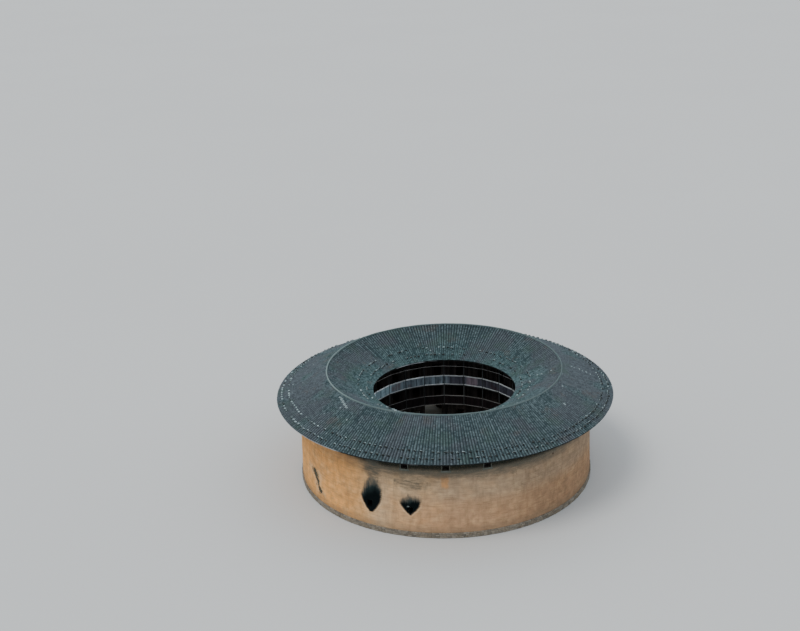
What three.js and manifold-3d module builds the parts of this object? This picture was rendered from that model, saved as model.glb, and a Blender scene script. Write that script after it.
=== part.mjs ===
// Round rammed earth house: a thick ring wall, two timber galleries round an open court, and a tiled roof
// that falls both outwards and inwards from a round ridge.
// Millimetres, Z up. The origin is on the ground at the centre of the court.
// A bearing is an angle in degrees, seen from above, from the front (-Y) towards the right (+X).
import * as THREE from 'three';
import { mergeVertices } from 'three/addons/utils/BufferGeometryUtils.js';
import Module from 'manifold-3d';

const wasm = await Module();
wasm.setup();

// Layout of the ring
const BAYS = 24;
const BAY = 360 / BAYS;
const HALF_BAY = BAY / 2;
const FACETS = 48;
const FACET = 360 / FACETS;
const GAP = 0.3;
// How far a cutting shape runs past what it cuts
const PAST = 500;
const REACH = 40000;

// Roof surface, at the tops of the tiles
const EAVE_RADIUS = 18500;
const EAVE_HEIGHT = 9500;
const RIDGE_RADIUS = 12900;
const RIDGE_HEIGHT = 12170;
const OCULUS_RADIUS = 7850;
const OCULUS_HEIGHT = 9590;
const ROOF_THICKNESS = 160;
const RIDGE_CAP_WIDTH = 240;
const RIDGE_CAP_RISE = 70;
const RIDGE_CAP_SHOULDER = 60;

// Roof carpentry
const PURLIN = 160;
const OUTER_PURLINS = [13040, 17380];
const INNER_PURLINS = [12760, 9120];
const RAFTER_DEPTH = 220;
const TRUSS_WIDTH = 160;
const TIE_HEIGHT = 9150;
const TIE_DEPTH = 200;
const TIE_INNER_END = 8980;
const TIE_OUTER_END = 17520;
const END_STRUT = 160;

// Earth wall and its stone footing
const FOOTING_HEIGHT = 600;
const FOOTING_RADIUS = 16260;
const WALL_INNER = 14900;
const WALL_FOOT_RADIUS = 16150;
const WALL_TOP_RADIUS = 15950;

// Windows of the top storey, in threes about the four quarter bearings
const WINDOW_QUARTERS = [0, 90, 180, 270];
const WINDOW_OFFSETS = [-15, 0, 15];
const WINDOW_WIDTH = 720;
const WINDOW_INNER_WIDTH = 980;
const WINDOW_REVEAL = 200;
const WINDOW_SILL = 7550;
const WINDOW_HEIGHT = 850;

// Smoke vents of the kitchens and one empty scaffold hole
const VENT_BEARINGS = [-29, -13.2];
const VENT_WIDTH = 560;
const VENT_SILL = 2620;
const VENT_HEIGHT = 700;
const VENT_SEGMENT_START = 324;
const VENT_SEGMENT_TOP = 4200;
const SCAFFOLD_HOLE = { bearing: 43.2, sill: 6980, size: 170, depth: 420 };

// Gate
const GATE_BEARING = 187.5;
const GATE_WIDTH = 1500;
const GATE_HEAD = 2780;
const GATE_JAMB = 290;
const GATE_FRAME_DEPTH = 420;
const GATE_LINTEL_RISE = 330;
const GATE_LINTEL_BEARING = 330;
const GATE_LINTEL_HEIGHT = 190;
const LINTEL_SETBACK = 20;
const LEAF_THICKNESS = 65;
const LEAF_REVEAL = 15;

// Platform, floors and storeys
const PLATFORM_RADIUS = 8700;
const PLATFORM_HEIGHT = 250;
const FLOOR_BOARDS = 60;
const FLOOR_DEPTH = 190;
const BEAM_WIDTH = 150;
const SECOND_FLOOR = 3530;
const THIRD_FLOOR = 6130;

// Gallery screens: boards, rail and posts at the edge of each gallery
const SCREEN_RADIUS = 9020;
const SCREEN_BOARD = 40;
const RAIL_PROUD = 22;
const SCREEN_HEIGHT = 990;
const THIRD_RAIL_HEIGHT = 85;
const SECOND_RAIL_HEIGHT = 55;
const GALLERY_POST = 140;
const POST_LAP = 20;
const HEAD_BEAM = 150;
const POLE_HEIGHT = 8270;
const POLE_SIZE = 50;

// Timber fronts of the rooms
const FRONT_RADIUS = 10300;
const FRONT_BOARD = 60;
const FRONT_POST = 190;
const DOOR_WIDTH = 880;
const DOOR_HEIGHT = 1900;
const DOOR_OFFSET = -560;
const HALL_WIDTH = 2100;
const HALL_HEIGHT = 2600;

const FINISHES = {
  earth: { color: 0xb98a55, roughness: 0.95, metalness: 0 },
  stone: { color: 0x8a8378, roughness: 0.9, metalness: 0 },
  tile: { color: 0x3d4a49, roughness: 0.85, metalness: 0 },
  lime: { color: 0x9b9f98, roughness: 0.9, metalness: 0 },
  timber: { color: 0x4a3d33, roughness: 0.8, metalness: 0 },
  weathered: { color: 0x5c6063, roughness: 0.85, metalness: 0 },
  pole: { color: 0x9c9684, roughness: 0.7, metalness: 0 },
};

const radians = THREE.MathUtils.degToRad;

// Heights of the two roof surfaces over a radius
const OUTER_FALL = (RIDGE_HEIGHT - EAVE_HEIGHT) / (EAVE_RADIUS - RIDGE_RADIUS);
const INNER_FALL = (RIDGE_HEIGHT - OCULUS_HEIGHT) / (RIDGE_RADIUS - OCULUS_RADIUS);
const outerRoof = (radius) => RIDGE_HEIGHT - (radius - RIDGE_RADIUS) * OUTER_FALL;
const innerRoof = (radius) => RIDGE_HEIGHT - (RIDGE_RADIUS - radius) * INNER_FALL;

// The carpentry lies under the purlins, and under the dip of the facets across a truss's width.
const FACET_DIP = (TRUSS_WIDTH / 2) * Math.tan(radians(FACET / 2)) * OUTER_FALL;
const RAFTER_DROP = ROOF_THICKNESS + PURLIN + FACET_DIP + GAP;
const WALL_TOP = outerRoof(WALL_TOP_RADIUS) - RAFTER_DROP - RAFTER_DEPTH - GAP;

// Booleans on closed meshes
function solid(geometry) {
  geometry.deleteAttribute('normal');
  geometry.deleteAttribute('uv');
  const merged = mergeVertices(geometry, 1e-3);
  return new wasm.Manifold(
    new wasm.Mesh({
      numProp: 3,
      vertProperties: new Float32Array(merged.attributes.position.array),
      triVerts: new Uint32Array(merged.index.array),
    }),
  );
}

const joined = (solids) => solids.reduce((sum, next) => sum.add(next));
const cut = (body, tools) => (tools.length ? body.subtract(joined(tools)) : body);

function geometryOf(body) {
  const mesh = body.getMesh();
  const geometry = new THREE.BufferGeometry();
  geometry.setAttribute('position', new THREE.BufferAttribute(mesh.vertProperties, 3));
  geometry.setIndex(new THREE.BufferAttribute(mesh.triVerts, 1));
  geometry.computeVertexNormals();
  return geometry;
}

const vectors = (points) => points.map(([x, y]) => new THREE.Vector2(x, y));

// A full ring with a closed section of [radius, height] points, turned by the given bearing
function ring(section, facets, turn = 0) {
  const points = vectors(section);
  if (THREE.ShapeUtils.area(points) < 0) points.reverse();
  points.push(points[0].clone());
  const geometry = new THREE.LatheGeometry(points, facets);
  return solid(geometry.rotateX(Math.PI / 2).rotateZ(radians(turn)));
}

const band = (inner, outer, bottom, top) => [
  [inner, bottom],
  [outer, bottom],
  [outer, top],
  [inner, top],
];

// A box in a bearing's own frame: across, outwards and up
function block(bearing, across, outwards, up) {
  const length = ([low, high]) => high - low;
  const middle = ([low, high]) => (low + high) / 2;
  const geometry = new THREE.BoxGeometry(length(across), length(outwards), length(up));
  geometry.translate(middle(across), -middle(outwards), middle(up)).rotateZ(radians(bearing));
  return solid(geometry);
}

// An outline of [radius, height] points, given a thickness across a bearing
function plate(bearing, outline, thickness) {
  const shape = new THREE.Shape(vectors(outline));
  const geometry = new THREE.ExtrudeGeometry(shape, { depth: thickness, bevelEnabled: false });
  geometry.translate(0, 0, -thickness / 2);
  const upright = new THREE.Matrix4().makeBasis(
    new THREE.Vector3(0, -1, 0),
    new THREE.Vector3(0, 0, 1),
    new THREE.Vector3(-1, 0, 0),
  );
  return solid(geometry.applyMatrix4(upright).rotateZ(radians(bearing)));
}

// An outline of [across, outwards] points, extruded upwards
function slab(bearing, outline, bottom, top) {
  const shape = new THREE.Shape(vectors(outline.map(([across, outwards]) => [across, -outwards])));
  const geometry = new THREE.ExtrudeGeometry(shape, { depth: top - bottom, bevelEnabled: false });
  return solid(geometry.translate(0, 0, bottom).rotateZ(radians(bearing)));
}

// The part of a ring between two bearings, drawn back by half a gap at each cut
function sector(body, from, to, low = -REACH, high = REACH) {
  const half = (to - from) / 2;
  const setback = GAP / 2 / Math.sin(radians(half));
  const outline = [
    [0, setback],
    [-REACH * Math.sin(radians(half)), setback + REACH * Math.cos(radians(half))],
    [0, setback + REACH],
    [REACH * Math.sin(radians(half)), setback + REACH * Math.cos(radians(half))],
  ];
  return body.intersect(slab((from + to) / 2, outline, low, high));
}

const bayLines = Array.from({ length: BAYS }, (_, index) => index * BAY);
const house = new THREE.Group();

function place(name, finish, body) {
  const mesh = new THREE.Mesh(geometryOf(body), new THREE.MeshStandardMaterial(FINISHES[finish]));
  mesh.name = name;
  house.add(mesh);
}

// Halves meet at mid-bay, at the gate and opposite it.
function placeHalves(name, finish, body) {
  place(name + '_right', finish, sector(body, GATE_BEARING - 180, GATE_BEARING));
  place(name + '_left', finish, sector(body, GATE_BEARING, GATE_BEARING + 180));
}

// Quarters meet at mid-bay too.
function placeQuarters(name, finish, body) {
  ['front_right', 'back_right', 'back_left', 'front_left'].forEach((side, index) => {
    const from = HALF_BAY + index * 90;
    place(`${name}_${side}`, finish, sector(body, from, from + 90));
  });
}

// Gate: the hole that the wall and footing leave, the stone frame in it, the lintel beam and the leaves
const GATE_HALF = GATE_WIDTH / 2;
const GATE_OUTER_HALF = GATE_HALF + GATE_JAMB;
const GATE_TOP = GATE_HEAD + GATE_LINTEL_RISE;
const GATE_FACE = WALL_FOOT_RADIUS * Math.cos(radians(FACET / 2));
const FRAME_BACK = GATE_FACE - GATE_FRAME_DEPTH;

function gateHole() {
  const half = GATE_OUTER_HALF + GAP;
  const inside = WALL_INNER - PAST;
  const passage = block(GATE_BEARING, [-half, half], [inside, REACH / 2], [-PAST, GATE_TOP + GAP]);
  const seat = half + GATE_LINTEL_BEARING;
  const lintelPocket = block(
    GATE_BEARING,
    [-seat - GAP, seat + GAP],
    [inside, FRAME_BACK],
    [GATE_TOP - GATE_LINTEL_HEIGHT, GATE_TOP + GAP],
  );
  return [passage, lintelPocket];
}

function gateFrame() {
  const face = [FRAME_BACK + GAP, GATE_FACE];
  const body = block(GATE_BEARING, [-GATE_OUTER_HALF, GATE_OUTER_HALF], face, [0, GATE_TOP]);
  const doorway = block(
    GATE_BEARING,
    [-GATE_HALF, GATE_HALF],
    [WALL_INNER - PAST, REACH / 2],
    [PLATFORM_HEIGHT, GATE_HEAD],
  );
  const sill = block(
    GATE_BEARING,
    [-GATE_OUTER_HALF, GATE_OUTER_HALF],
    [WALL_INNER + GAP, GATE_FACE],
    [0, PLATFORM_HEIGHT],
  );
  return body.subtract(doorway).add(sill);
}

function gateLintel() {
  const half = GATE_OUTER_HALF + GATE_LINTEL_BEARING;
  return block(
    GATE_BEARING,
    [-half, half],
    [WALL_INNER + LINTEL_SETBACK, FRAME_BACK - GAP],
    [GATE_TOP - GATE_LINTEL_HEIGHT + GAP, GATE_TOP],
  );
}

function gateLeaf(side) {
  const outer = GATE_OUTER_HALF - LEAF_REVEAL;
  const across = side < 0 ? [-outer, LEAF_THICKNESS - outer] : [outer - LEAF_THICKNESS, outer];
  const head = GATE_TOP - GATE_LINTEL_HEIGHT;
  return block(GATE_BEARING, across, [FRAME_BACK - GATE_HALF, FRAME_BACK], [PLATFORM_HEIGHT, head]);
}

// Footing and earth wall
function footing() {
  const body = ring(band(WALL_INNER, FOOTING_RADIUS, 0, FOOTING_HEIGHT), FACETS, FACET / 2);
  return cut(body, gateHole());
}

const WALL_CUT = [WALL_INNER - PAST, WALL_FOOT_RADIUS + PAST];
const windowBearings = WINDOW_QUARTERS.flatMap((quarter) => WINDOW_OFFSETS.map((offset) => quarter + offset));

function windowHole(bearing) {
  const outside = WALL_FOOT_RADIUS + WINDOW_REVEAL;
  const splay = WALL_TOP_RADIUS - WINDOW_REVEAL;
  const inside = WALL_INNER - WINDOW_REVEAL;
  const outline = [
    [-WINDOW_WIDTH / 2, outside],
    [-WINDOW_WIDTH / 2, splay],
    [-WINDOW_INNER_WIDTH / 2, inside],
    [WINDOW_INNER_WIDTH / 2, inside],
    [WINDOW_WIDTH / 2, splay],
    [WINDOW_WIDTH / 2, outside],
  ];
  return slab(bearing, outline, WINDOW_SILL, WINDOW_SILL + WINDOW_HEIGHT);
}

function ventHole(bearing) {
  const half = VENT_WIDTH / 2;
  return block(bearing, [-half, half], WALL_CUT, [VENT_SILL, VENT_SILL + VENT_HEIGHT]);
}

function scaffoldHole({ bearing, sill, size, depth }) {
  const face = WALL_TOP_RADIUS - depth;
  return block(bearing, [-size / 2, size / 2], [face, face + 2 * depth], [sill, sill + size]);
}

function tiePocket(bearing) {
  const half = TRUSS_WIDTH / 2 + GAP;
  return block(bearing, [-half, half], WALL_CUT, [TIE_HEIGHT - GAP, TIE_HEIGHT + TIE_DEPTH + GAP]);
}

function earthWall() {
  const section = [
    [WALL_INNER, FOOTING_HEIGHT],
    [WALL_FOOT_RADIUS, FOOTING_HEIGHT],
    [WALL_TOP_RADIUS, WALL_TOP],
    [WALL_INNER, WALL_TOP],
  ];
  return cut(ring(section, FACETS, FACET / 2), [
    ...windowBearings.map(windowHole),
    ...VENT_BEARINGS.map(ventHole),
    ...bayLines.map(tiePocket),
    ...gateHole(),
    scaffoldHole(SCAFFOLD_HOLE),
  ]);
}

function placeEarthWall() {
  const body = earthWall();
  const sides = ['front', 'front_right', 'right', 'back_right', 'back', 'back_left', 'left', 'front_left'];
  const width = 360 / sides.length;
  sides.forEach((side, index) => {
    const start = (index - 0.5) * width;
    const end = side === 'front_left' ? VENT_SEGMENT_START : start + width;
    place('earth_wall_' + side, 'earth', sector(body, start, end));
  });
  const ventSegment = (low, high) => sector(body, VENT_SEGMENT_START, 360 - width / 2, low, high);
  place('earth_wall_left_vent', 'earth', ventSegment(-REACH, VENT_SEGMENT_TOP - GAP / 2));
  place('earth_wall_over_left_vent', 'earth', ventSegment(VENT_SEGMENT_TOP + GAP / 2, REACH));
}

// Platform and floors
const courtCut = (radius) => {
  const geometry = new THREE.CylinderGeometry(radius, radius, 2 * REACH, BAYS);
  return solid(geometry.rotateX(Math.PI / 2));
};

const FLOOR_EDGE = SCREEN_RADIUS + SCREEN_BOARD + GAP;
const FLOOR_OUTER = WALL_INNER - 2 * GAP;

function platform() {
  const section = band(PLATFORM_RADIUS - PAST, FLOOR_OUTER, 0, PLATFORM_HEIGHT);
  return ring(section, FACETS, FACET / 2).subtract(courtCut(PLATFORM_RADIUS));
}

function floor(top) {
  const bottom = top - FLOOR_DEPTH;
  const boards = ring(band(FLOOR_EDGE - PAST, FLOOR_OUTER, top - FLOOR_BOARDS, top), FACETS, FACET / 2);
  const half = BEAM_WIDTH / 2;
  const run = [FLOOR_EDGE, FLOOR_OUTER * Math.cos(radians(FACET / 2))];
  const beams = bayLines.map((bearing) => block(bearing, [-half, half], run, [bottom, top]));
  return joined([boards.subtract(courtCut(FLOOR_EDGE)), ...beams]);
}

// Gallery screen: boards that cover the floor's edge, a rail, and posts up to a head beam
function screen(floorTop, railHeight, headTop) {
  const outer = SCREEN_RADIUS + SCREEN_BOARD;
  const hem = floorTop - FLOOR_DEPTH;
  const railTop = floorTop + SCREEN_HEIGHT;
  const boards = [
    [SCREEN_RADIUS, hem],
    [outer, hem],
    [outer, railTop],
    [SCREEN_RADIUS - RAIL_PROUD, railTop],
    [SCREEN_RADIUS - RAIL_PROUD, railTop - railHeight],
    [SCREEN_RADIUS, railTop - railHeight],
  ];
  const face = outer - POST_LAP;
  const half = GALLERY_POST / 2;
  const posts = bayLines.map((bearing) =>
    block(bearing, [-half, half], [face, face + GALLERY_POST], [floorTop, headTop]),
  );
  const head = ring(band(face, face + GALLERY_POST, headTop - HEAD_BEAM, headTop), BAYS);
  return joined([ring(boards, BAYS), head, ...posts]);
}

function dryingPole() {
  const outer = SCREEN_RADIUS + SCREEN_BOARD - POST_LAP - GAP;
  const corner = POLE_SIZE / 4;
  const section = [
    [outer, POLE_HEIGHT + corner],
    [outer, POLE_HEIGHT + POLE_SIZE - corner],
    [outer - POLE_SIZE / 2, POLE_HEIGHT + POLE_SIZE],
    [outer - POLE_SIZE, POLE_HEIGHT + POLE_SIZE - corner],
    [outer - POLE_SIZE, POLE_HEIGHT + corner],
    [outer - POLE_SIZE / 2, POLE_HEIGHT],
  ];
  return ring(section, BAYS);
}

// Room fronts: boards between posts, with a doorway in each bay
const FRONT_CUT = [FRONT_RADIUS - PAST, FRONT_RADIUS + PAST];

function doorHole(bearing, floorTop) {
  const across = [DOOR_OFFSET - DOOR_WIDTH / 2, DOOR_OFFSET + DOOR_WIDTH / 2];
  return block(bearing, across, FRONT_CUT, [floorTop - PAST, floorTop + DOOR_HEIGHT]);
}

// Behind the gate the ground storey's front leaves a hall open.
function hallHole(floorTop) {
  const across = [-HALL_WIDTH / 2, HALL_WIDTH / 2];
  return block(GATE_BEARING, across, FRONT_CUT, [floorTop - PAST, floorTop + HALL_HEIGHT]);
}

function roomFront(floorTop, headTop, hasHall) {
  const inner = FRONT_RADIUS - FRONT_BOARD / 2;
  const boards = ring(band(inner, inner + FRONT_BOARD, floorTop, headTop), BAYS);
  const holes = bayLines.map((bearing) => {
    const middle = bearing + HALF_BAY;
    return hasHall && middle === GATE_BEARING ? hallHole(floorTop) : doorHole(middle, floorTop);
  });
  const half = FRONT_POST / 2;
  const posts = bayLines.map((bearing) =>
    block(bearing, [-half, half], [FRONT_RADIUS - half, FRONT_RADIUS + half], [floorTop, headTop]),
  );
  return joined([cut(boards, holes), ...posts]);
}

// Roof slopes, each with its purlins, and the ridge cap
function slope(roof, from, to, purlins) {
  const under = (radius) => roof(radius) - ROOF_THICKNESS;
  const ordered = [...purlins].sort((a, b) => (to > from ? a - b : b - a));
  const half = ((to > from ? 1 : -1) * PURLIN) / 2;
  const underside = ordered.flatMap((radius) => [
    [radius - half, under(radius - half)],
    [radius - half, under(radius - half) - PURLIN],
    [radius + half, under(radius + half) - PURLIN],
    [radius + half, under(radius + half)],
  ]);
  const section = [[from, under(from)], ...underside, [to, under(to)], [to, roof(to)], [from, roof(from)]];
  return ring(section, FACETS);
}

function ridgeCap() {
  const inner = RIDGE_RADIUS - RIDGE_CAP_WIDTH / 2;
  const outer = RIDGE_RADIUS + RIDGE_CAP_WIDTH / 2;
  const top = RIDGE_HEIGHT + RIDGE_CAP_RISE;
  return ring(
    [
      [inner, innerRoof(inner) + GAP],
      [RIDGE_RADIUS, RIDGE_HEIGHT + GAP],
      [outer, outerRoof(outer) + GAP],
      [outer, outerRoof(outer) + RIDGE_CAP_RISE],
      [RIDGE_RADIUS + RIDGE_CAP_SHOULDER, top],
      [RIDGE_RADIUS - RIDGE_CAP_SHOULDER, top],
      [inner, innerRoof(inner) + RIDGE_CAP_RISE],
    ],
    FACETS,
  );
}

// Roof trusses: a tie that runs out through the wall, two rafters, a king post and a strut at each end,
// with a ring plate over the room fronts
function truss(bearing) {
  const tieTop = TIE_HEIGHT + TIE_DEPTH;
  const innerTop = (radius) => innerRoof(radius) - RAFTER_DROP;
  const outerTop = (radius) => outerRoof(radius) - RAFTER_DROP;
  const half = TRUSS_WIDTH / 2;
  const outline = [
    [TIE_INNER_END, TIE_HEIGHT],
    [TIE_OUTER_END, TIE_HEIGHT],
    [TIE_OUTER_END, outerTop(TIE_OUTER_END)],
    [RIDGE_RADIUS, outerTop(RIDGE_RADIUS)],
    [TIE_INNER_END, innerTop(TIE_INNER_END)],
  ];
  const hole = (from, to, top) => [
    [from, tieTop],
    [to, tieTop],
    [to, top(to) - RAFTER_DEPTH],
    [from, top(from) - RAFTER_DEPTH],
  ];
  const holes = [
    hole(TIE_INNER_END + END_STRUT, RIDGE_RADIUS - half, innerTop),
    hole(RIDGE_RADIUS + half, TIE_OUTER_END - END_STRUT, outerTop),
  ];
  const tools = holes.map((shape) => plate(bearing, shape, 2 * TRUSS_WIDTH));
  return cut(plate(bearing, outline, TRUSS_WIDTH), tools);
}

function roofFrame() {
  const half = TRUSS_WIDTH / 2;
  const section = band(FRONT_RADIUS - half, FRONT_RADIUS + half, TIE_HEIGHT, TIE_HEIGHT + TIE_DEPTH);
  return joined([ring(section, BAYS), ...bayLines.map(truss)]);
}

placeHalves('footing', 'stone', footing());
placeHalves('platform', 'stone', platform());
placeEarthWall();
place('gate_frame', 'stone', gateFrame());
place('gate_lintel_beam', 'timber', gateLintel());
place('gate_leaf_left', 'timber', gateLeaf(-1));
place('gate_leaf_right', 'timber', gateLeaf(1));
placeHalves('second_floor', 'timber', floor(SECOND_FLOOR));
placeHalves('third_floor', 'timber', floor(THIRD_FLOOR));
placeHalves('ground_room_front', 'timber', roomFront(PLATFORM_HEIGHT, SECOND_FLOOR - FLOOR_DEPTH, true));
placeHalves('second_room_front', 'timber', roomFront(SECOND_FLOOR, THIRD_FLOOR - FLOOR_DEPTH, false));
placeHalves('third_room_front', 'timber', roomFront(THIRD_FLOOR, TIE_HEIGHT, false));
placeHalves('second_gallery', 'timber', screen(SECOND_FLOOR, SECOND_RAIL_HEIGHT, THIRD_FLOOR - FLOOR_DEPTH));
placeHalves('third_gallery', 'weathered', screen(THIRD_FLOOR, THIRD_RAIL_HEIGHT, TIE_HEIGHT));
place('drying_pole', 'pole', dryingPole());
placeQuarters('roof_frame', 'timber', roofFrame());
placeQuarters('outer_roof', 'tile', slope(outerRoof, RIDGE_RADIUS + GAP, EAVE_RADIUS, OUTER_PURLINS));
placeQuarters('inner_roof', 'tile', slope(innerRoof, RIDGE_RADIUS - GAP, OCULUS_RADIUS, INNER_PURLINS));
place('ridge_cap', 'lime', ridgeCap());

export default house;
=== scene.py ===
"""Looks of a round rammed earth house with a tiled ring roof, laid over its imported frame."""

import math
from contextlib import contextmanager
from functools import reduce

import bmesh
import bpy
import numpy as np
from mathutils import Matrix


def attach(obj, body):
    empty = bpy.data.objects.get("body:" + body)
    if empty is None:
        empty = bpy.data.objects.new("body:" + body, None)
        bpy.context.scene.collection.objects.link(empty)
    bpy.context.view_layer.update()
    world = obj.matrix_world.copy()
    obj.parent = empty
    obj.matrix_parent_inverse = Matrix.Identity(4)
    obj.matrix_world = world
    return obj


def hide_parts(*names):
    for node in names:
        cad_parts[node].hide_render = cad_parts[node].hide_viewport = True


bl_info = {
    "name": "Tulou Roundhouse",
    "version": (1, 0, 0),
    "blender": (4, 5, 0),
    "location": "3D View > Sidebar > Roundhouse",
    "description": "Tiles, earth wall, timber galleries and stonework of a round earth house",
    "category": "Object",
}

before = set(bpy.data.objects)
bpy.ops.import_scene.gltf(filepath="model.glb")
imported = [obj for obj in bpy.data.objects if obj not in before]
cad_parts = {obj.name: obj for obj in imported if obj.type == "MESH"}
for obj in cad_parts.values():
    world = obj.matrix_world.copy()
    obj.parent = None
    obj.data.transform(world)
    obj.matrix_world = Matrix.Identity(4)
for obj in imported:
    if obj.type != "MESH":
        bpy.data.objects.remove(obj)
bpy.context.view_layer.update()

# Layout: a bearing is in degrees from the front (-Y) towards the right (+X). Lengths are in metres.
BAYS = 24
BAY = 360 / BAYS
HALF_BAY = BAY / 2
QUARTERS = ("front_right", "back_right", "back_left", "front_left")
HALVES = ("right", "left")
SIDES = ("front", "front_right", "right", "back_right", "back", "back_left", "left", "front_left",
         "left_vent", "over_left_vent")
FACET_FLAT = math.cos(math.radians(HALF_BAY))
RING_STEPS = 96

# Vertices of a squared piece with eased edges
BLOCK_VERTS = 24

# Roof surface at the tops of the tiles, as (radius, height), and the radius for measuring ways round it
EAVE = (18.5, 9.5)
RIDGE = (12.9, 12.17)
OCULUS = (7.85, 9.59)
ROOF_MIDDLE = 14

# Tiles: a course's overlap, the depth of the whole pack, the vertices of a cover and of a pan, how a cover
# flares at its lower end, how far each kind tilts and lies under the tops, and how thick a pan is and how
# deep its trough
TILE_LENGTH_PER_COURSE = 1.22
TILE_PACK = 0.092
COVER_VERTS, PAN_VERTS = 10, 8
COVER_FLARE = (1.14, 1, 1.16)
COVER_TILT, COVER_DROP = 0.011, 0.008
PAN_TILT, PAN_DROP = 0.010, 0.056
PAN_THICKNESS, PAN_HOLLOW = 0.060, 0.046

# How old tiles have moved: usual slip, share of loose ones and their slip, the turn of loose and firm ones
# in degrees, the lift of firm and loose ones, and how tiles and whole rows drift to a side
SLIP, LOOSE_SHARE, LOOSE_SLIP = 0.006, 0.004, (0.02, 0.08)
LOOSE_TURN, FIRM_TURN = 9, 1.3
FIRM_LIFT, LOOSE_LIFT = 0.003, 0.012
TILE_DRIFT, ROW_DRIFT = 0.007, 0.009

# Tones of tiles: loose ones, and where the newer ones begin, with their share of all tiles
LOOSE_TONE, NEW_TONE, NEW_SHARE = 2.4, 3.6, 0.0012

# Where slopes were mended: bearing and radius of both ends of a strip, how far it reaches to each side, its
# share of new tiles, and their tone
MENDED = (
    (-55.0, 13.3, -46.2, 13.9, 0.10, 0.95, 4.4),
    (-59.7, 11.8, -59.3, 10.2, 0.24, 0.75, 3.2),
    (92.6, 13.7, 92.2, 16.0, 0.20, 0.35, 4.2),
    (90.3, 10.4, 87.7, 11.7, 0.20, 0.35, 4.2),
    (55.2, 14.9, 55.9, 15.5, 0.15, 0.5, 4.2),
)

# Under the tiles: deck, number of rafters and their (width, depth), how far they stop short of the edge, and
# purlins
DECK = 0.02
RAFTERS = 240
RAFTER = (0.11, 0.036)
EAVE_SETBACK = 0.13
PURLIN_RADIUS = 0.078
PURLIN_DROP = 0.16
OUTER_PURLINS = (13.04, 17.38)
INNER_PURLINS = (12.76, 9.12)

# Earth wall, its foot and head as (radius, height), and the holes in it: windows and vents as (width,
# height), the lime wash beside a window, and past and down from its sill, the empty scaffold hole as
# (bearing, sill, side, depth), and the ties' slots with their play
WALL_FOOT = (16.15, 0.6)
WALL_HEAD = (15.95, 10.16)
WALL_INNER = 14.9
WALL_FACE = 16.05
THROUGH_WALL = (14.7, 16.6)
WINDOW_BEARINGS = tuple(quarter + offset for quarter in (0, 90, 180, 270) for offset in (-15, 0, 15))
WINDOW = (0.72, 0.85)
WINDOW_SILL = 7.55
WINDOW_FLARE = 1.36
WASH = 0.06
SILL_WASH = (0.16, 0.21)
VENTS = (-29.0, -13.2)
VENT = (0.56, 0.70)
VENT_SILL = 2.62
PUTLOG = (43.2, 6.98, 0.17, 0.42)
TIE = (0.16, 0.20)
TIE_HEIGHT = 9.15
TIE_PLAY = 0.004

# Cracks in the wall: bearing and height of the top, bearing and height of the foot, half the width
CRACKS = (
    (-60.6, 4.2, -59.0, 2.8, 0.78),
    (-59.3, 3.4, -55.2, 1.2, 0.46),
    (26.3, 7.0, 26.1, 5.7, 0.022),
    (-18.8, 6.6, -18.9, 5.4, 0.022),
)
CRACK_END = 0.5

# Smoke stains over the vents: bearing, half widths at heights, the heights between which the soot thins, the
# heights between which it ends, and how much lower it ends beside the plume's middle, which leans by some
# degrees
SMOKE = (
    (-28.5, ((2.1, 0.22), (2.7, 0.68), (3.3, 1.02), (4.0, 1.20), (4.6, 1.18), (5.2, 1.06), (6.6, 0.84)),
     (3.8, 5.6), (4.75, 6.1), 0.85),
    (-13.1, ((2.42, 0.02), (2.75, 0.36), (3.2, 0.76), (3.6, 0.99), (3.95, 1.06), (4.4, 1.02), (5.3, 0.80)),
     (3.5, 4.3), (3.8, 4.75), 0.25),
)
PLUME_LEAN = 1.1

# Gate
GATE_BEARING = 187.5
GATE_WIDTH = 1.5
GATE_HEAD = 2.78
GATE_JAMB = 0.29
GATE_TOP = 3.11
GATE_FACE = 16.15 * math.cos(math.radians(3.75))
GATE_BACK = GATE_FACE - 0.42
GATE_PLAY = 0.003
LINTEL_DEPTH = 0.19
LINTEL_SEAT = 0.33
GATE_HOLE = GATE_WIDTH / 2 + GATE_JAMB + GATE_PLAY

# Footing courses as (foot, head, stones in the ring), the radius of the stones' middles, how far out they may
# stand, and the face of the core behind them as (radius, height)
COURSES = ((0.0, 0.24, 250), (0.225, 0.44, 268), (0.425, 0.60, 288))
FOOTING_MIDDLE = 16.145
FOOTING_REACH = 16.27
FOOTING_CORE = ((16.19, 0), (16.17, 0.595))

# Storeys: platform as (edge, height), pole as (radius, height, thickness), doorway as (width, height, place
# across the bay) and hall as (width, height)
PLATFORM = (8.7, 0.25)
KERB_DEPTH = 0.42
FLOORS = {"second": 3.53, "third": 6.13}
FLOOR_DEPTH = 0.19
FLOOR_MIDDLE = 12.0
FLOOR_BOARD = 0.2
SCREEN = 9.02
SCREEN_HEIGHT = 0.99
POST = 0.14
BEAM_DEPTH = 0.15
POLE = (9.015, 8.295, 0.025)
FRONT = 10.3
FRONT_BOARD = 0.06
FRONT_POST = 0.19
DOOR = (0.88, 1.9, -0.56)
DOOR_FRAME = 0.07
HALL = (2.1, 2.6)
HALL_FRAME = 0.08


# Bench: small steps that each piece is made with


def clear_bench():
    """Leaves edit mode and deselects everything."""
    if bpy.context.object and bpy.context.object.mode != "OBJECT":
        bpy.ops.object.mode_set(mode="OBJECT")
    bpy.ops.object.select_all(action="DESELECT")


def take(*pieces):
    """Selects these pieces alone, the first one active."""
    clear_bench()
    for piece in pieces:
        piece.select_set(True)
    bpy.context.view_layer.objects.active = pieces[0]


def settle(piece):
    """Puts a piece's place, turn and size into its mesh."""
    take(piece)
    bpy.ops.object.transform_apply(location=True, rotation=True, scale=True)
    return piece


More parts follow.
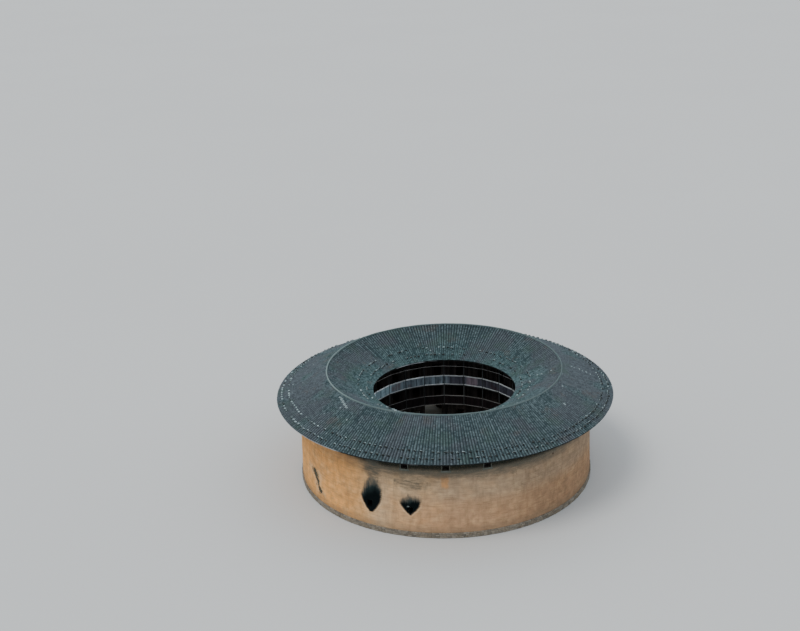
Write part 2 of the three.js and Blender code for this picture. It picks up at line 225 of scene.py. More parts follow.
def add(kind, scale=(1, 1, 1), place=(0, 0, 0), turn=(0, 0, 0), **settings):
    """Adds a primitive at its size and place."""
    clear_bench()
    getattr(bpy.ops.mesh, f"primitive_{kind}_add")(**settings)
    piece = bpy.context.object
    piece.scale, piece.rotation_euler, piece.location = scale, turn, place
    return settle(piece)


@contextmanager
def shaping(piece, test=None, part="VERT"):
    """Edit mode, with every vertex, edge or face selected whose centre and normal pass the test."""
    take(piece)
    bpy.ops.object.mode_set(mode="EDIT")
    bpy.ops.mesh.select_mode(type=part)
    pick(piece, test, part)
    yield piece
    bpy.ops.object.mode_set(mode="OBJECT")


def pick(piece, test=None, part="VERT"):
    """Selects by place and normal in edit mode, or everything with no test."""
    bpy.ops.mesh.select_all(action="SELECT" if test is None else "DESELECT")
    if test is None:
        return
    mesh = bmesh.from_edit_mesh(piece.data)
    if part == "VERT":
        for vert in mesh.verts:
            vert.select = test(vert.co, vert.normal)
    elif part == "EDGE":
        for edge in mesh.edges:
            edge.select = test((edge.verts[0].co + edge.verts[1].co) / 2, edge.verts[1].co - edge.verts[0].co)
    else:
        for face in mesh.faces:
            face.select = test(face.calc_center_median(), face.normal)
    mesh.select_flush_mode()
    bmesh.update_edit_mesh(piece.data)


def bevel(piece, width, segments=1):
    """Eases every edge of a piece."""
    with shaping(piece, None, "EDGE"):
        bpy.ops.mesh.bevel(offset=width, segments=segments, affect="EDGES")
    return piece


def modify(piece, kind, **values):
    """Adds a modifier and applies it."""
    take(piece)
    bpy.ops.object.modifier_add(type=kind)
    modifier = piece.modifiers[-1]
    for name, value in values.items():
        setattr(modifier, name, value)
    bpy.ops.object.modifier_apply(modifier=modifier.name)
    return piece


def along(piece, count, step):
    """Repeats a piece along a straight line."""
    return modify(piece, "ARRAY", count=count, use_relative_offset=False, use_constant_offset=True,
                  constant_offset_displace=step)


def around(piece, count, step):
    """Repeats a piece about the court's middle, each turned by a step in degrees."""
    pivot = bpy.data.objects.new("pivot", None)
    bpy.context.scene.collection.objects.link(pivot)
    pivot.rotation_euler.z = math.radians(step)
    bpy.context.view_layer.update()
    modify(piece, "ARRAY", count=count, use_relative_offset=False, use_object_offset=True,
           offset_object=pivot)
    bpy.data.objects.remove(pivot)
    return piece


def turned(piece, bearing):
    """Turns a piece from the front to a bearing."""
    piece.rotation_euler.z = math.radians(bearing)
    return settle(piece)


def copy_of(piece, bearing=0.0):
    """A copy with its own mesh, turned further round the court."""
    other = piece.copy()
    other.data = piece.data.copy()
    bpy.context.scene.collection.objects.link(other)
    return turned(other, bearing)


def joined(pieces):
    """One piece out of several."""
    take(*pieces)
    if len(pieces) > 1:
        bpy.ops.object.join()
    return pieces[0]


def clean(piece):
    """Merges doubles and turns all faces outwards."""
    with shaping(piece):
        bpy.ops.mesh.remove_doubles(threshold=1e-4)
        bpy.ops.mesh.normals_make_consistent(inside=False)
    return piece


def smooth(piece, angle=40.0):
    """Smooth shading, with edges sharper than the angle kept."""
    take(piece)
    bpy.ops.object.shade_smooth_by_angle(angle=math.radians(angle))
    return piece


def finished(piece, name, finish, slot, *replaced):
    """Names a piece, gives it its finish and ties it to the frame."""
    piece.name = piece.data.name = name
    piece.data.materials.clear()
    piece.data.materials.append(finish)
    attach(piece, "root")
    if replaced:
        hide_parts(*replaced)
    return piece


def coated(node_name, finish):
    """Gives a part of the frame that shows as it is a finish."""
    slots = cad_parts[node_name].data.materials
    slots.clear()
    slots.append(finish)


def block(across, outwards, up, ease=0.0):
    """A squared piece at the front, between limits across, outwards from the court's middle, and up."""
    spans = (across, outwards, up)
    size = [high - low for low, high in spans]
    middle = [(low + high) / 2 for low, high in spans]
    piece = add("cube", size, (middle[0], -middle[1], middle[2]), size=1)
    return bevel(piece, ease) if ease else piece


def ring(corners, steps, ease=0.0):
    """A closed ring: an upright plane, its corners pushed to (radius, height) points, and spun."""
    piece = add("plane", turn=(0, math.pi / 2, 0), size=1)
    order = [(-0.5, -0.5), (0.5, -0.5), (0.5, 0.5), (-0.5, 0.5)]
    for (inner, z), (radius, height) in zip(order, corners):
        with shaping(piece, lambda co, _: abs(co.y + inner) < 1e-4 and abs(co.z - z) < 1e-4):
            bpy.ops.transform.translate(value=(0, inner - radius, height - z))
    if ease:
        with shaping(piece):
            bpy.ops.mesh.bevel(offset=ease, segments=1, affect="VERTICES")
    return spun(piece, steps)


def spun(piece, steps):
    """Spins a section, drawn at the front, into a full ring."""
    with shaping(piece, None, "FACE"):
        bpy.ops.mesh.delete(type="ONLY_FACE")
    with shaping(piece):
        bpy.ops.mesh.spin(steps=steps, angle=2 * math.pi, center=(0, 0, 0), axis=(0, 0, 1))
    return clean(piece)


def log_ring(radius, height, thickness, steps, sides=10):
    """A round log bent about the court's middle."""
    piece = add("circle", (thickness,) * 3, (0, -radius, height), (0, math.pi / 2, 0), vertices=sides,
                radius=1, fill_type="NGON")
    return spun(piece, steps)


# Mesh points as arrays


def points(piece):
    """Vertex places of a piece, one row each."""
    co = np.empty(len(piece.data.vertices) * 3, np.float32)
    piece.data.vertices.foreach_get("co", co)
    return co.reshape(-1, 3).astype(float)


def set_points(piece, co):
    piece.data.vertices.foreach_set("co", co.astype(np.float32).ravel())
    piece.data.update()


def paint(piece, name, values):
    """Stores one number for each vertex, which the finishes read."""
    layer = piece.data.attributes.get(name) or piece.data.attributes.new(name, "FLOAT", "POINT")
    layer.data.foreach_set("value", values.astype(np.float32))


def bearing_of(co):
    return np.degrees(np.arctan2(co[:, 0], -co[:, 1]))


def ripple(a, b, seed, size=1.0):
    """A smooth wave field between -1 and 1 over two coordinates."""
    rng = np.random.default_rng(seed)
    total = np.zeros_like(a)
    for _ in range(6):
        direction = rng.uniform(0, 2 * math.pi)
        pitch = rng.uniform(0.5, 1.8) / size
        phase = rng.uniform(0, 2 * math.pi)
        total += np.sin((a * math.cos(direction) + b * math.sin(direction)) * pitch + phase)
    return total / 6


def tone_parts(piece, count, seed, spread=1.0):
    """Gives each of the equal parts of a piece a tone of its own, and returns part numbers and the dice."""
    rng = np.random.default_rng(seed)
    part = np.arange(len(piece.data.vertices)) // count
    paint(piece, "tone", rng.normal(0, spread, part[-1] + 1)[part])
    return part, rng


def jiggle_parts(piece, count, seed, shift=0.004, turn=0.6, grow=0.0):
    """Shifts, turns and grows each of the equal parts of a piece a little, as handwork leaves them."""
    part, rng = tone_parts(piece, count, seed)
    co = points(piece)
    total = part[-1] + 1
    centre = np.stack([np.bincount(part, co[:, axis]) for axis in range(3)], 1) / count
    local = co - centre[part]
    if grow:
        local *= (1 + rng.normal(0, grow, (total, 3)))[part]
    swing = np.radians(rng.normal(0, turn, total))[part]
    x = local[:, 0] * np.cos(swing) - local[:, 1] * np.sin(swing)
    y = local[:, 0] * np.sin(swing) + local[:, 1] * np.cos(swing)
    co = np.stack([x, y, local[:, 2]], 1) + centre[part] + rng.normal(0, shift, (total, 3))[part]
    set_points(piece, co)
    return piece


def leave_out(piece, count, gone):
    """Deletes those of the equal parts of a piece that are marked as gone."""
    with shaping(piece):
        mesh = bmesh.from_edit_mesh(piece.data)
        for vert in mesh.verts:
            vert.select = bool(gone[vert.index // count])
        mesh.select_flush_mode()
        bmesh.update_edit_mesh(piece.data)
        bpy.ops.mesh.delete(type="VERT")
    return piece


# Finishes


class Field:
    """A number that varies over a surface. Sums with it add the Math nodes that work them out."""

    def __init__(self, finish, socket):
        self.finish = finish
        self.socket = socket

    def __add__(self, other):
        return self.finish.sum("ADD", self, other)

    def __sub__(self, other):
        return self.finish.sum("SUBTRACT", self, other)

    def __rsub__(self, other):
        return self.finish.sum("SUBTRACT", other, self)

    def __mul__(self, other):
        return self.finish.sum("MULTIPLY", self, other)

    def __truediv__(self, other):
        return self.finish.sum("DIVIDE", self, other)

    def __pow__(self, other):
        return self.finish.sum("POWER", self, other)

    def __abs__(self):
        return self.finish.sum("ABSOLUTE", self)

    def larger(self, other):
        return self.finish.sum("MAXIMUM", self, other)

    def swing(self, reach):
        """Noise turned into a swing to both sides, by up to about half the reach."""
        return self.finish.sum("MULTIPLY_ADD", self, reach, -reach / 2)

    def between(self, low, high, start=0.0, end=1.0, smoothly=True):
        """Maps low..high to start..end, with soft ends."""
        inputs = {"Value": self, "From Min": low, "From Max": high, "To Min": start, "To Max": end}
        kind = "SMOOTHSTEP" if smoothly else "LINEAR"
        return self.finish.field("MapRange", 0, inputs, interpolation_type=kind, clamp=True)


class Finish:
    """Builds a procedural material step by step, coat over coat on a base colour."""

    def __init__(self, name, roughness=0.85, specular=0.25):
        self.material = bpy.data.materials.new(name)
        self.material.use_nodes = True
        self.tree = self.material.node_tree
        self.tree.nodes.clear()
        self.shader = self.node("BsdfPrincipled", {"Roughness": roughness, "Specular IOR Level": specular})
        self.node("OutputMaterial", {"Surface": self.shader.outputs[0]})
        self.place = self.node("TexCoord").outputs["Object"]
        self.base = None

    def feed(self, target, value):
        """Links a field or a colour to an input, or sets a plain value there."""
        value = value.socket if isinstance(value, Field) else value
        if isinstance(value, bpy.types.NodeSocket):
            self.tree.links.new(value, target)
        else:
            target.default_value = value

    def node(self, kind, inputs=None, **settings):
        made = self.tree.nodes.new("ShaderNode" + kind)
        for key, value in settings.items():
            setattr(made, key, value)
        for key, value in (inputs or {}).items():
            self.feed(made.inputs[key], value)
        return made

    def field(self, kind, output, inputs, **settings):
        return Field(self, self.node(kind, inputs, **settings).outputs[output])

    def sum(self, operation, a, b=0.0, c=0.0, clamp=False):
        return self.field("Math", 0, {0: a, 1: b, 2: c}, operation=operation, use_clamp=clamp)

    def axes(self):
        """How far right, back and up a point lies."""
        return [Field(self, socket) for socket in self.node("SeparateXYZ", {0: self.place}).outputs]

    def radius(self, right, back):
        return self.sum("SQRT", right * right + back * back)

    def bearing(self, right, back):
        """The bearing of a point, in radians."""
        return self.sum("ARCTAN2", right, back * -1.0)

    def noise(self, scale, detail=4.0, rough=0.55, stretch=None):
        """Noise of a scale, or of scales along each axis when stretched."""
        place = self.place
        if stretch:
            place = self.node("Mapping", {"Vector": place, "Scale": stretch}).outputs[0]
        inputs = {"Vector": place, "Scale": scale, "Detail": detail, "Roughness": rough}
        return self.field("TexNoise", "Fac", inputs)

    def drawn_out(self, detail, rough, stretch):
        """Noise drawn out into streaks by its own scale along each axis."""
        return self.noise(1.0, detail, rough, stretch)

    def attribute(self, name):
        return self.field("Attribute", "Fac", {}, attribute_name=name)

    def mix(self, share, a, b, blend="MIX"):
        """Two colours mixed by a share, which is the Mix node's input 0, while the colours are 6 and 7."""
        made = self.node("Mix", {0: share}, data_type="RGBA", blend_type=blend)
        for index, colour in ((6, a), (7, b)):
            plain = not isinstance(colour, bpy.types.NodeSocket)
            self.feed(made.inputs[index], (*colour[:3], 1) if plain else colour)
        return made.outputs[2]

    def times(self, colour, tint):
        return self.mix(1.0, colour, tint, "MULTIPLY")

    def ground(self, share, a, b):
        """The base colour, from one to another."""
        self.base = self.mix(share, a, b)

    def coat(self, mask, colour):
        """Lays a colour over the base where the mask lies."""
        self.base = self.mix(mask, self.base, colour)

    def tint(self, mask, tint):
        """Draws the base towards a tint where the mask lies."""
        self.coat(mask, self.times(self.base, tint))

    def finish(self, height=None, distance=0.01, strength=1.0):
        """Puts the base colour, and the height as bump, on the shader."""
        self.feed(self.shader.inputs["Base Color"], self.base)
        if height is not None:
            bump = self.node("Bump", {"Height": height, "Distance": distance, "Strength": strength})
            self.feed(self.shader.inputs["Normal"], bump.outputs[0])
        return self.material


def scaled(colour, *factors):
    """A colour times one factor, or times one for each channel."""
    factors = factors if len(factors) == 3 else factors * 3
    return tuple(min(1.0, channel * factor) for channel, factor in zip(colour, factors))


# Colours that only darken or tint others
GRIT = (0.01, 0.015, 0.015)
STONE_SPECK = (0.05, 0.05, 0.045)
# Painted shade inside the cracks
CRACK_SHADE = (0.048, 0.052, 0.038)
DAMP_TINT = (0.86, 1.08, 1.04)
DRY_TINT = (1.22, 1.21, 1.18)
LEFT_TINT = (1.08, 0.91, 0.69)
LOW_TINT = (1.03, 0.92, 0.82)
# Painted shade on the right end of the wall
RIGHT_SHADE_TINT = (0.68, 0.68, 0.69)


def tile_finish(name, look):
    """Fired clay: each tile its own tone, with plum, mossy and rusty clouds, lichen, and troughs dark with
    dirt and painted shade.
    """
    made = Finish(name, 0.85, 0.25)
    right, back, _ = made.axes()
    tone = made.attribute("tone")
    worn, pale = scaled(look.tile_colour, 0.45, 0.50, 0.51), scaled(look.tile_colour, 1.72, 1.46, 1.42)
    made.ground(tone.between(-2.4, 2.6), worn, pale)
    made.tint(made.radius(right, back).between(8.5, 12.2, 0.75, 0.0), DAMP_TINT)
    plum = made.noise(0.3, 3, 0.5) + abs(right).between(8.0, 15.0, -0.03, 0.13)
    for cloud, low, high, strength, colour in (
            (plum, 0.48, 0.62, 0.8, look.plum_tile_colour),
            (made.noise(0.42, 5, 0.6), 0.50, 0.68, 0.7, look.moss_colour),
            (made.noise(0.62, 4, 0.6), 0.57, 0.70, 0.6, look.rust_tile_colour)):
        made.coat(cloud.between(low, high, 0.0, strength), made.mix(0.6, made.base, colour))
    made.coat(made.noise(9.0, 3, 0.7).between(0.60, 0.74, 0.0, 0.35), look.pale_tile_colour)
    made.coat(tone.between(NEW_TONE, 5.0), look.pale_tile_colour)
    grain = made.noise(38.0, 3, 0.6)
    made.coat(grain.between(0.35, 0.7, 0.0, 0.22), GRIT)
    # Pans darkened with trough dirt and with painted shade between the covers.
    made.coat(made.attribute("hollow") * 0.72, look.trough_dirt_and_shade_colour)
    return made.finish(grain, 0.004, 0.7)


def lime_finish(name, colour, dirt):
    """Old lime mortar, blotched and spotted with dirt, and paler where its tone is high."""
    made = Finish(name, 0.9, 0.2)
    blotch = made.noise(2.2, 6, 0.65).between(0.36, 0.68)
    made.ground(blotch, scaled(colour, 1.12), made.mix(0.55, colour, dirt))
    made.coat(made.noise(14.0, 4, 0.7).between(0.58, 0.7) * 0.6, dirt)
    made.coat(made.attribute("tone").between(0.0, 1.0, 0.0, 0.75), scaled(colour, 2.1))
    return made.finish(made.noise(30.0, 4, 0.6), 0.008, 0.6)


def stone_finish(name, colour, darkest=0.66, warmth=0.5):
    """Rough stone: each block its own tone, with warm clouds and dark specks."""
    made = Finish(name, 0.88, 0.25)
    made.ground(made.attribute("tone").between(-2.2, 2.2), scaled(colour, darkest), scaled(colour, 1.35))
    made.coat(made.noise(1.6, 5, 0.6).between(0.4, 0.68, 0.0, warmth), scaled(colour, 1.1, 0.95, 0.75))
    made.coat(made.noise(60.0, 2, 0.5).between(0.56, 0.66, 0.0, 0.6), STONE_SPECK)
    return made.finish(made.noise(7.0, 5, 0.6) + made.noise(45.0, 3, 0.6) * 0.25, 0.02, 0.7)


def timber_finish(name, colour, worn, grain, roughness=0.8, patch=None, dullest=0.55, sides=()):
    """Sawn timber with drawn-out grain, dull and worn planks, and patches of another wood. The tints for
    sides are for the rain-washed left at the back, the newer planks right of the middle, and the rest of
    the right."""
    made = Finish(name, roughness, 0.12)
    lines = made.drawn_out(6, 0.65, grain)
    made.ground(lines.between(0.34, 0.68), scaled(colour, 0.6), scaled(colour, 1.3))
    if patch:
        made.coat(made.noise(0.33, 2, 0.5).between(0.55, 0.62, 0.0, 0.8), patch)
    dull, bright = made.times(made.base, (dullest,) * 3), made.mix(0.6, made.base, scaled(colour, worn))
    made.ground(made.attribute("tone").between(-1.8, 2.2), dull, bright)
    made.coat(made.noise(1.1, 4, 0.6).between(0.5, 0.72, 0.0, 0.6), scaled(colour, 0.4))
    if sides:
        right, back, _ = made.axes()
        old = abs(right - 3.3).between(0.5, 0.9)
        washed = right.between(-8.0, -4.0, 1.0, 0.0) * back.between(0.0, 4.0)
        for span, tint in zip((washed, 1.0 - old, right.between(0.0, 0.9) * old), sides):
            made.tint(span, tint)
    return made.finish(lines, 0.006, 0.6)


def floor_finish(name, colour):
    """Boards laid outwards from the court, as worn floors are."""
    made = Finish(name, 0.8, 0.25)
    right, back, _ = made.axes()
    boards = made.bearing(right, back) * (FLOOR_MIDDLE / FLOOR_BOARD)
    seam = abs(made.sum("FRACT", boards) - 0.5).between(0.46, 0.49)
    shade = made.field("TexWhiteNoise", "Value", {"W": made.sum("FLOOR", boards)}, noise_dimensions="1D")
    made.ground(shade, scaled(colour, 0.7), scaled(colour, 1.25))
    made.coat(made.drawn_out(5, 0.6, (9.0, 9.0, 2.0)).between(0.4, 0.7, 0.0, 0.5), scaled(colour, 0.5))
    made.coat(seam, scaled(colour, 0.12))
    return made.finish(1.0 - seam, 0.006, 0.8)


def at_arc(bearing):
    """Distance round the wall's face to a bearing."""
    return math.radians(bearing) * WALL_FACE


class EarthFinish(Finish):
    """The rammed earth of the ring wall, with masks laid out by height and by distance round its face."""

    def __init__(self, name, look):
        super().__init__(name, 0.95, 0.12)
        self.look = look
        self.right, back, self.height = self.axes()
        self.outwards = self.radius(self.right, back)
        self.arc = self.bearing(self.right, back) * WALL_FACE
        self.darker = scaled(look.grey_earth_colour, 0.45)

    def wavering(self, scale, reach):
        """Noise that swings evenly to both sides, by up to about half the reach."""
        return self.noise(scale, 5, 0.65).swing(reach)

    def off(self, bearing):
        """Distance round the face from a bearing."""
        return abs(self.arc - at_arc(bearing))

    def oval(self, bearing, level, wide, tall, torn):
        """A soft oval stain with torn edges."""
        across, upwards = self.off(bearing) / wide, abs(self.height - level) / tall
        reach = across ** 2.0 + upwards ** 2.0 + self.wavering(1.8, torn)
        return reach.between(0.1, 1.3, 1.0, 0.0)

    def clouds(self):
        """Orange earth on the left that greys to the right, in soft clouds with fine tamping lines."""
        look, right, height = self.look, self.right, self.height
        drift = (right + self.wavering(0.30, 6.0)).between(-13.0, 3.0)
        self.ground(drift, look.earth_colour, look.grey_earth_colour)
        # Washed earth and painted light: the earth low on the left is brightened where the wall is lit and
        # far below the eave's shade.
        glow = right.between(-12.0, -6.0, 1.0, 0.0) * height.between(1.5, 6.5, 1.0, 0.0)
        self.coat(glow * 0.7, look.washed_and_lit_earth_colour)
        self.coat(abs(right + 5.5).between(1.5, 6.0, 0.55, 0.0), look.pale_earth_colour)
        self.coat(self.noise(0.34, 5, 0.6).between(0.42, 0.64) * 0.4, scaled(look.grey_earth_colour, 0.82))
        warm = self.noise(0.45, 4, 0.55).between(0.46, 0.70) * right.between(-8.0, 6.0, 0.5, 0.15)
        self.coat(warm, look.earth_colour)
        rose = height.between(2.0, 6.0, 1.0, 0.0) * right.between(-9.0, -1.0)
        self.coat(rose * 0.35, look.rose_earth_colour)
        pale = self.noise(0.8, 5, 0.7, (1.0, 1.0, 1.4)).between(0.44, 0.68)
        self.coat(pale * 0.45, look.pale_earth_colour)
        for stretch, high, strength in (((0.7, 0.7, 6.0), 0.72, 0.46), ((2.4, 2.4, 0.5), 0.74, 0.44)):
            self.coat(self.drawn_out(5, 0.7, stretch).between(0.44, high, 0.0, strength), self.darker)
        grit = self.noise(3.4, 4, 0.75)
        self.coat(grit.between(0.30, 0.54, 0.36, 0.0), self.darker)
        self.coat(grit.between(0.52, 0.72, 0.0, 0.40), look.pale_earth_colour)

    def wear(self):
        """A patch of red earth, worn and dry places, and the warmer and duller ends of the face, the dull
        right end being painted shade.
        """
        across = self.off(-0.45) + self.wavering(2.0, 0.4)
        upwards = abs(self.height - 6.3) + self.wavering(1.4, 0.5)
        patch = across.between(0.22, 0.5, 1.0, 0.0) * upwards.between(0.4, 0.9, 1.0, 0.0)
        self.coat(patch * 0.62, self.look.rust_earth_colour)
        worn = self.noise(1.7, 6, 0.7)
        self.coat(worn.between(0.50, 0.66, 0.0, 0.38), self.darker)
        self.tint(worn.between(0.34, 0.50, 1.0, 0.0), DRY_TINT)
        self.tint((self.right + self.wavering(0.5, 3.0)).between(-9.8, -6.2, 1.0, 0.0), LEFT_TINT)
        self.tint(self.height.between(3.4, 5.2, 1.0, 0.0) * self.right.between(-7.0, -4.5), LOW_TINT)
        # Painted shade: the right end of the face is darkened.
        self.tint(self.right.between(4.0, 10.5), RIGHT_SHADE_TINT)

    def joints(self):
        """The thin shadow line where each lift stands on the one below."""
        lift = (self.height - WALL_FOOT[1]) / self.look.lift_height
        phase = self.sum("FRACT", lift + self.wavering(0.8, 0.22))
        seen = self.noise(0.7, 4, 0.6, (1.0, 1.0, 3.0)).between(0.42, 0.62)
        return abs(phase - 0.5).between(0.44, 0.495) * seen

    def weather(self):
        """Dust, wet stains and painted shade under the eave, less on the sunny side, and splashes at the
        foot.
        """
        sunny = self.right.between(-12.5, -6.0, 0.25, 1.0)
        streaks = self.drawn_out(5, 0.7, (0.6, 0.6, 3.2)).swing(1.8)
        dust_and_shade = self.height + streaks + self.right.between(5.0, 14.0, 0.05, -0.18)
        # Painted shade: the dust band and the wet line below the eave darken the earth as the eave's shade
        # would.
        self.coat(dust_and_shade.between(6.0, 7.5, 0.0, 0.90) * sunny, self.look.eave_dust_and_shade_colour)
        damp_and_shade = self.height + self.wavering(2.2, 0.25)
        self.coat(damp_and_shade.between(7.28, 7.85, 0.0, 0.98) * sunny, self.look.eave_damp_and_shade_colour)
        # Painted shade: a thin dark line right under the eave, all round.
        self.coat(damp_and_shade.between(7.62, 7.95, 0.0, 0.85), self.look.eave_damp_and_shade_colour)
        splashed = self.height + self.wavering(1.1, 0.9)
        self.coat(splashed.between(0.8, 1.6, 0.5, 0.0), self.darker)

    def cracks(self):
        """Cracks that run down the face, with torn ends, and how far beside them the earth has broken off."""
        cores, edges = [], []
        for top_bearing, top, low_bearing, low, width in CRACKS:
            slope = (at_arc(top_bearing) - at_arc(low_bearing)) / (top - low)
            line = self.sum("MULTIPLY_ADD", self.height - low, slope, at_arc(low_bearing))
            away = self.arc - line - self.wavering(1.9, min(2.0, width * 8))
            away = abs(away + self.wavering(6.0, min(0.8, width * 2)))
            level = self.height + self.wavering(3.0, min(1.1, width * 8))
            ends = level.between(low, low + CRACK_END) * level.between(top - CRACK_END, top, 1.0, 0.0)
            cores.append(away.between(width * 0.1, width * 1.25, 1.0, 0.0) * ends)
            edges.append(away.between(width, width * 2.4, 1.0, 0.0) * ends)
        return reduce(Field.larger, cores), reduce(Field.larger, edges)

    def broken(self):
        """Paints the cracks, pale beside and dark with painted shade inside, and returns how deep they are.
        """
        crack, beside = self.cracks()
        self.coat(beside * 0.45, self.look.pale_earth_colour)
        self.coat(crack.between(0.02, 0.4) * 0.45, self.darker)
        depth = crack * self.noise(5.0, 5, 0.75).between(0.34, 0.58, 0.62, 1.0)
        # Painted shade: the deep middle of each crack is darkened as the shade of its gap.
        self.coat(depth.between(0.10, 0.75, 0.0, 0.93), CRACK_SHADE)
        return crack

    def half_width(self, widths):
        """A stain's half width at every height, on a curve through those given."""
        (low, foot), *middle, (high, head) = widths
        widest = max(width for _, width in widths)
        curve = self.node("FloatCurve", {"Value": self.height.between(low, high, smoothly=False)})
        profile = curve.mapping.curves[0]
        profile.points[0].location = (0, foot / widest)
        profile.points[1].location = (1, head / widest)
        for level, width in middle:
            profile.points.new((level - low) / (high - low), width / widest)
        curve.mapping.update()
        return Field(self, curve.outputs[0]) * widest

    def soot(self, bearing, widths, thins, ends, dome):
        """How far inside a stain a point is, where soot is thick and thin, and what is above its foot."""
        foot, head = widths[0][0], widths[-1][0]
        loose = self.height.between(foot + 0.8, head - 0.5, 0.2, 1.0)
        inside = self.half_width(widths) - self.off(bearing) + self.wavering(2.6, 0.7) * loose
        inside += self.drawn_out(5, 0.7, (0.8, 0.8, 5.0)).swing(0.9) * loose
        level = self.height + self.wavering(1.5, 0.9) + self.off(bearing + PLUME_LEAN) ** 2.0 * dome
        level += self.drawn_out(4, 0.6, (4.5, 4.5, 0.6)).swing(1.0)
        thick = level.between(*ends, 1.0, 0.0) ** 0.7
        thin = (level - self.off(bearing) * 0.5).between(*thins)
        return inside, thick, thin, self.height.between(foot - 0.08, foot + 0.02)

    def flues(self):
        """The sooty insides of both vents."""
        level = abs(self.height - (VENT_SILL + VENT[1] / 2)).between(0.38, 0.46, 1.0, 0.0)
        deep = self.outwards.between(WALL_FACE - 0.05, WALL_FACE + 0.03, 1.0, 0.0) * level
        beside = [self.off(bearing).between(0.32, 0.42, 1.0, 0.0) for bearing in VENTS]
        return deep * reduce(Field.larger, beside)

    def smoke(self):
        """Paints soot over the vents and thin smoke up to the eave, and returns where soot lies."""
        look = self.look
        bars = self.drawn_out(4, 0.65, (0.9, 0.9, 5.0)).between(0.34, 0.60, 0.35, 1.0)
        left, right = self.oval(-27.4, 7.0, 1.0, 1.6, 1.6) * 0.85, self.oval(-12.5, 5.9, 2.0, 0.8, 2.4) * 0.75
        self.coat(left.larger(right) * bars, look.eave_dust_and_shade_colour)
        stain = self.flues()
        self.coat(stain, look.soot_colour)
        for bearing, widths, *fades in SMOKE:
            inside, thick, thin, above = self.soot(bearing, widths, *fades)
            rim = inside.between(-0.34, -0.16) * self.height.between(3.1, 3.8, 1.0, 0.0)
            rim *= above * inside.between(-0.14, -0.04, 1.0, 0.0)
            self.coat(rim * 0.5, look.pale_earth_colour)
            soft = self.height.between(widths[0][0] + 1.2, widths[-1][0] - 0.6, 0.14, 0.42)
            mask = self.sum("MULTIPLY", (inside / soft).between(-0.9, 1.0) * thick, above, clamp=True)
            self.coat(mask ** 0.4 * 0.8, look.veil_colour)
            self.coat(mask, self.mix(thin, look.soot_colour, look.thin_soot_colour))
            stain = stain.larger(mask)
        self.coat(self.oval(-13.9, 3.36, 0.15, 0.12, 0.8) * 0.7, look.chip_colour)
        return stain

    def made_up(self):
        """Puts the layers together."""
        look = self.look
        self.clouds()
        self.wear()
        joint = self.joints()
        self.coat(joint * 0.36, self.darker)
        self.weather()
        pebbles = self.field("TexVoronoi", "Distance", {"Vector": self.place, "Scale": 13.0}, feature="F1")
        self.coat(pebbles.between(0.10, 0.22, 0.35, 0.0), look.pale_earth_colour)
        self.coat(self.noise(11.0, 4, 0.7).between(0.60, 0.70, 0.0, 0.5), scaled(look.earth_colour, 0.3))
        crack = self.broken()
        stain = self.smoke()
        self.feed(self.shader.inputs["Specular IOR Level"], stain.between(0.0, 1.0, 0.12, 0.0))
        rough = self.noise(5.0, 6, 0.65) + self.noise(30.0, 3, 0.6) * 0.35
        return self.finish(rough - joint * 0.5 - crack * 1.6, 0.035, 0.75)


# Settings


def count_setting(name, text, default):
    return bpy.props.IntProperty(name=name, description=text, default=default)


def size_setting(name, text, default):
    return bpy.props.FloatProperty(name=name, description=text, default=default, unit="LENGTH")


def colour_setting(name, text, default):
    return bpy.props.FloatVectorProperty(name=name, description=text, default=default, size=3,
                                         subtype="COLOR", min=0.0, max=1.0)


class RoundhouseRoof(bpy.types.PropertyGroup):
    """Tiles, ridge and stones on the roof"""

    outer_rows: count_setting("Outer Rows", "Rows of tiles on the outer slope", 360)
    inner_rows: count_setting("Inner Rows", "Rows of tiles on the slope to the court", 240)
    outer_courses: count_setting("Outer Courses", "Tiles in each outer row", 37)
    inner_courses: count_setting("Inner Courses", "Tiles in each inner row", 34)
    cover_width: size_setting("Cover Width", "Width of a cover tile", 0.165)
    cover_rise: size_setting("Cover Rise", "Height of a cover tile's crown", 0.058)
    sag: size_setting("Sag", "How far the old slopes have settled", 0.03)
    tile_colour: colour_setting("Tile", "Fired clay", (0.066, 0.108, 0.119))
    plum_tile_colour: colour_setting("Plum Tile", "Tiles fired harder", (0.092, 0.092, 0.110))
    moss_colour: colour_setting("Moss", "Dull growth on the tiles", (0.060, 0.103, 0.082))
    rust_tile_colour: colour_setting("Rust Tile", "Tiles with a brown cast", (0.112, 0.090, 0.076))
    pale_tile_colour: colour_setting("Pale Tile", "Lichen and newer tiles", (0.26, 0.32, 0.33))
    # Dirt in the troughs, also used as painted shade there
    trough_dirt_and_shade_colour: colour_setting("Trough", "Damp dirt in the troughs", (0.010, 0.015, 0.018))
    lime_colour: colour_setting("Lime", "Lime mortar of the ridge", (0.100, 0.127, 0.124))
    stone_colour: colour_setting("Stones", "Stones that hold the tiles down", (0.27, 0.34, 0.35))


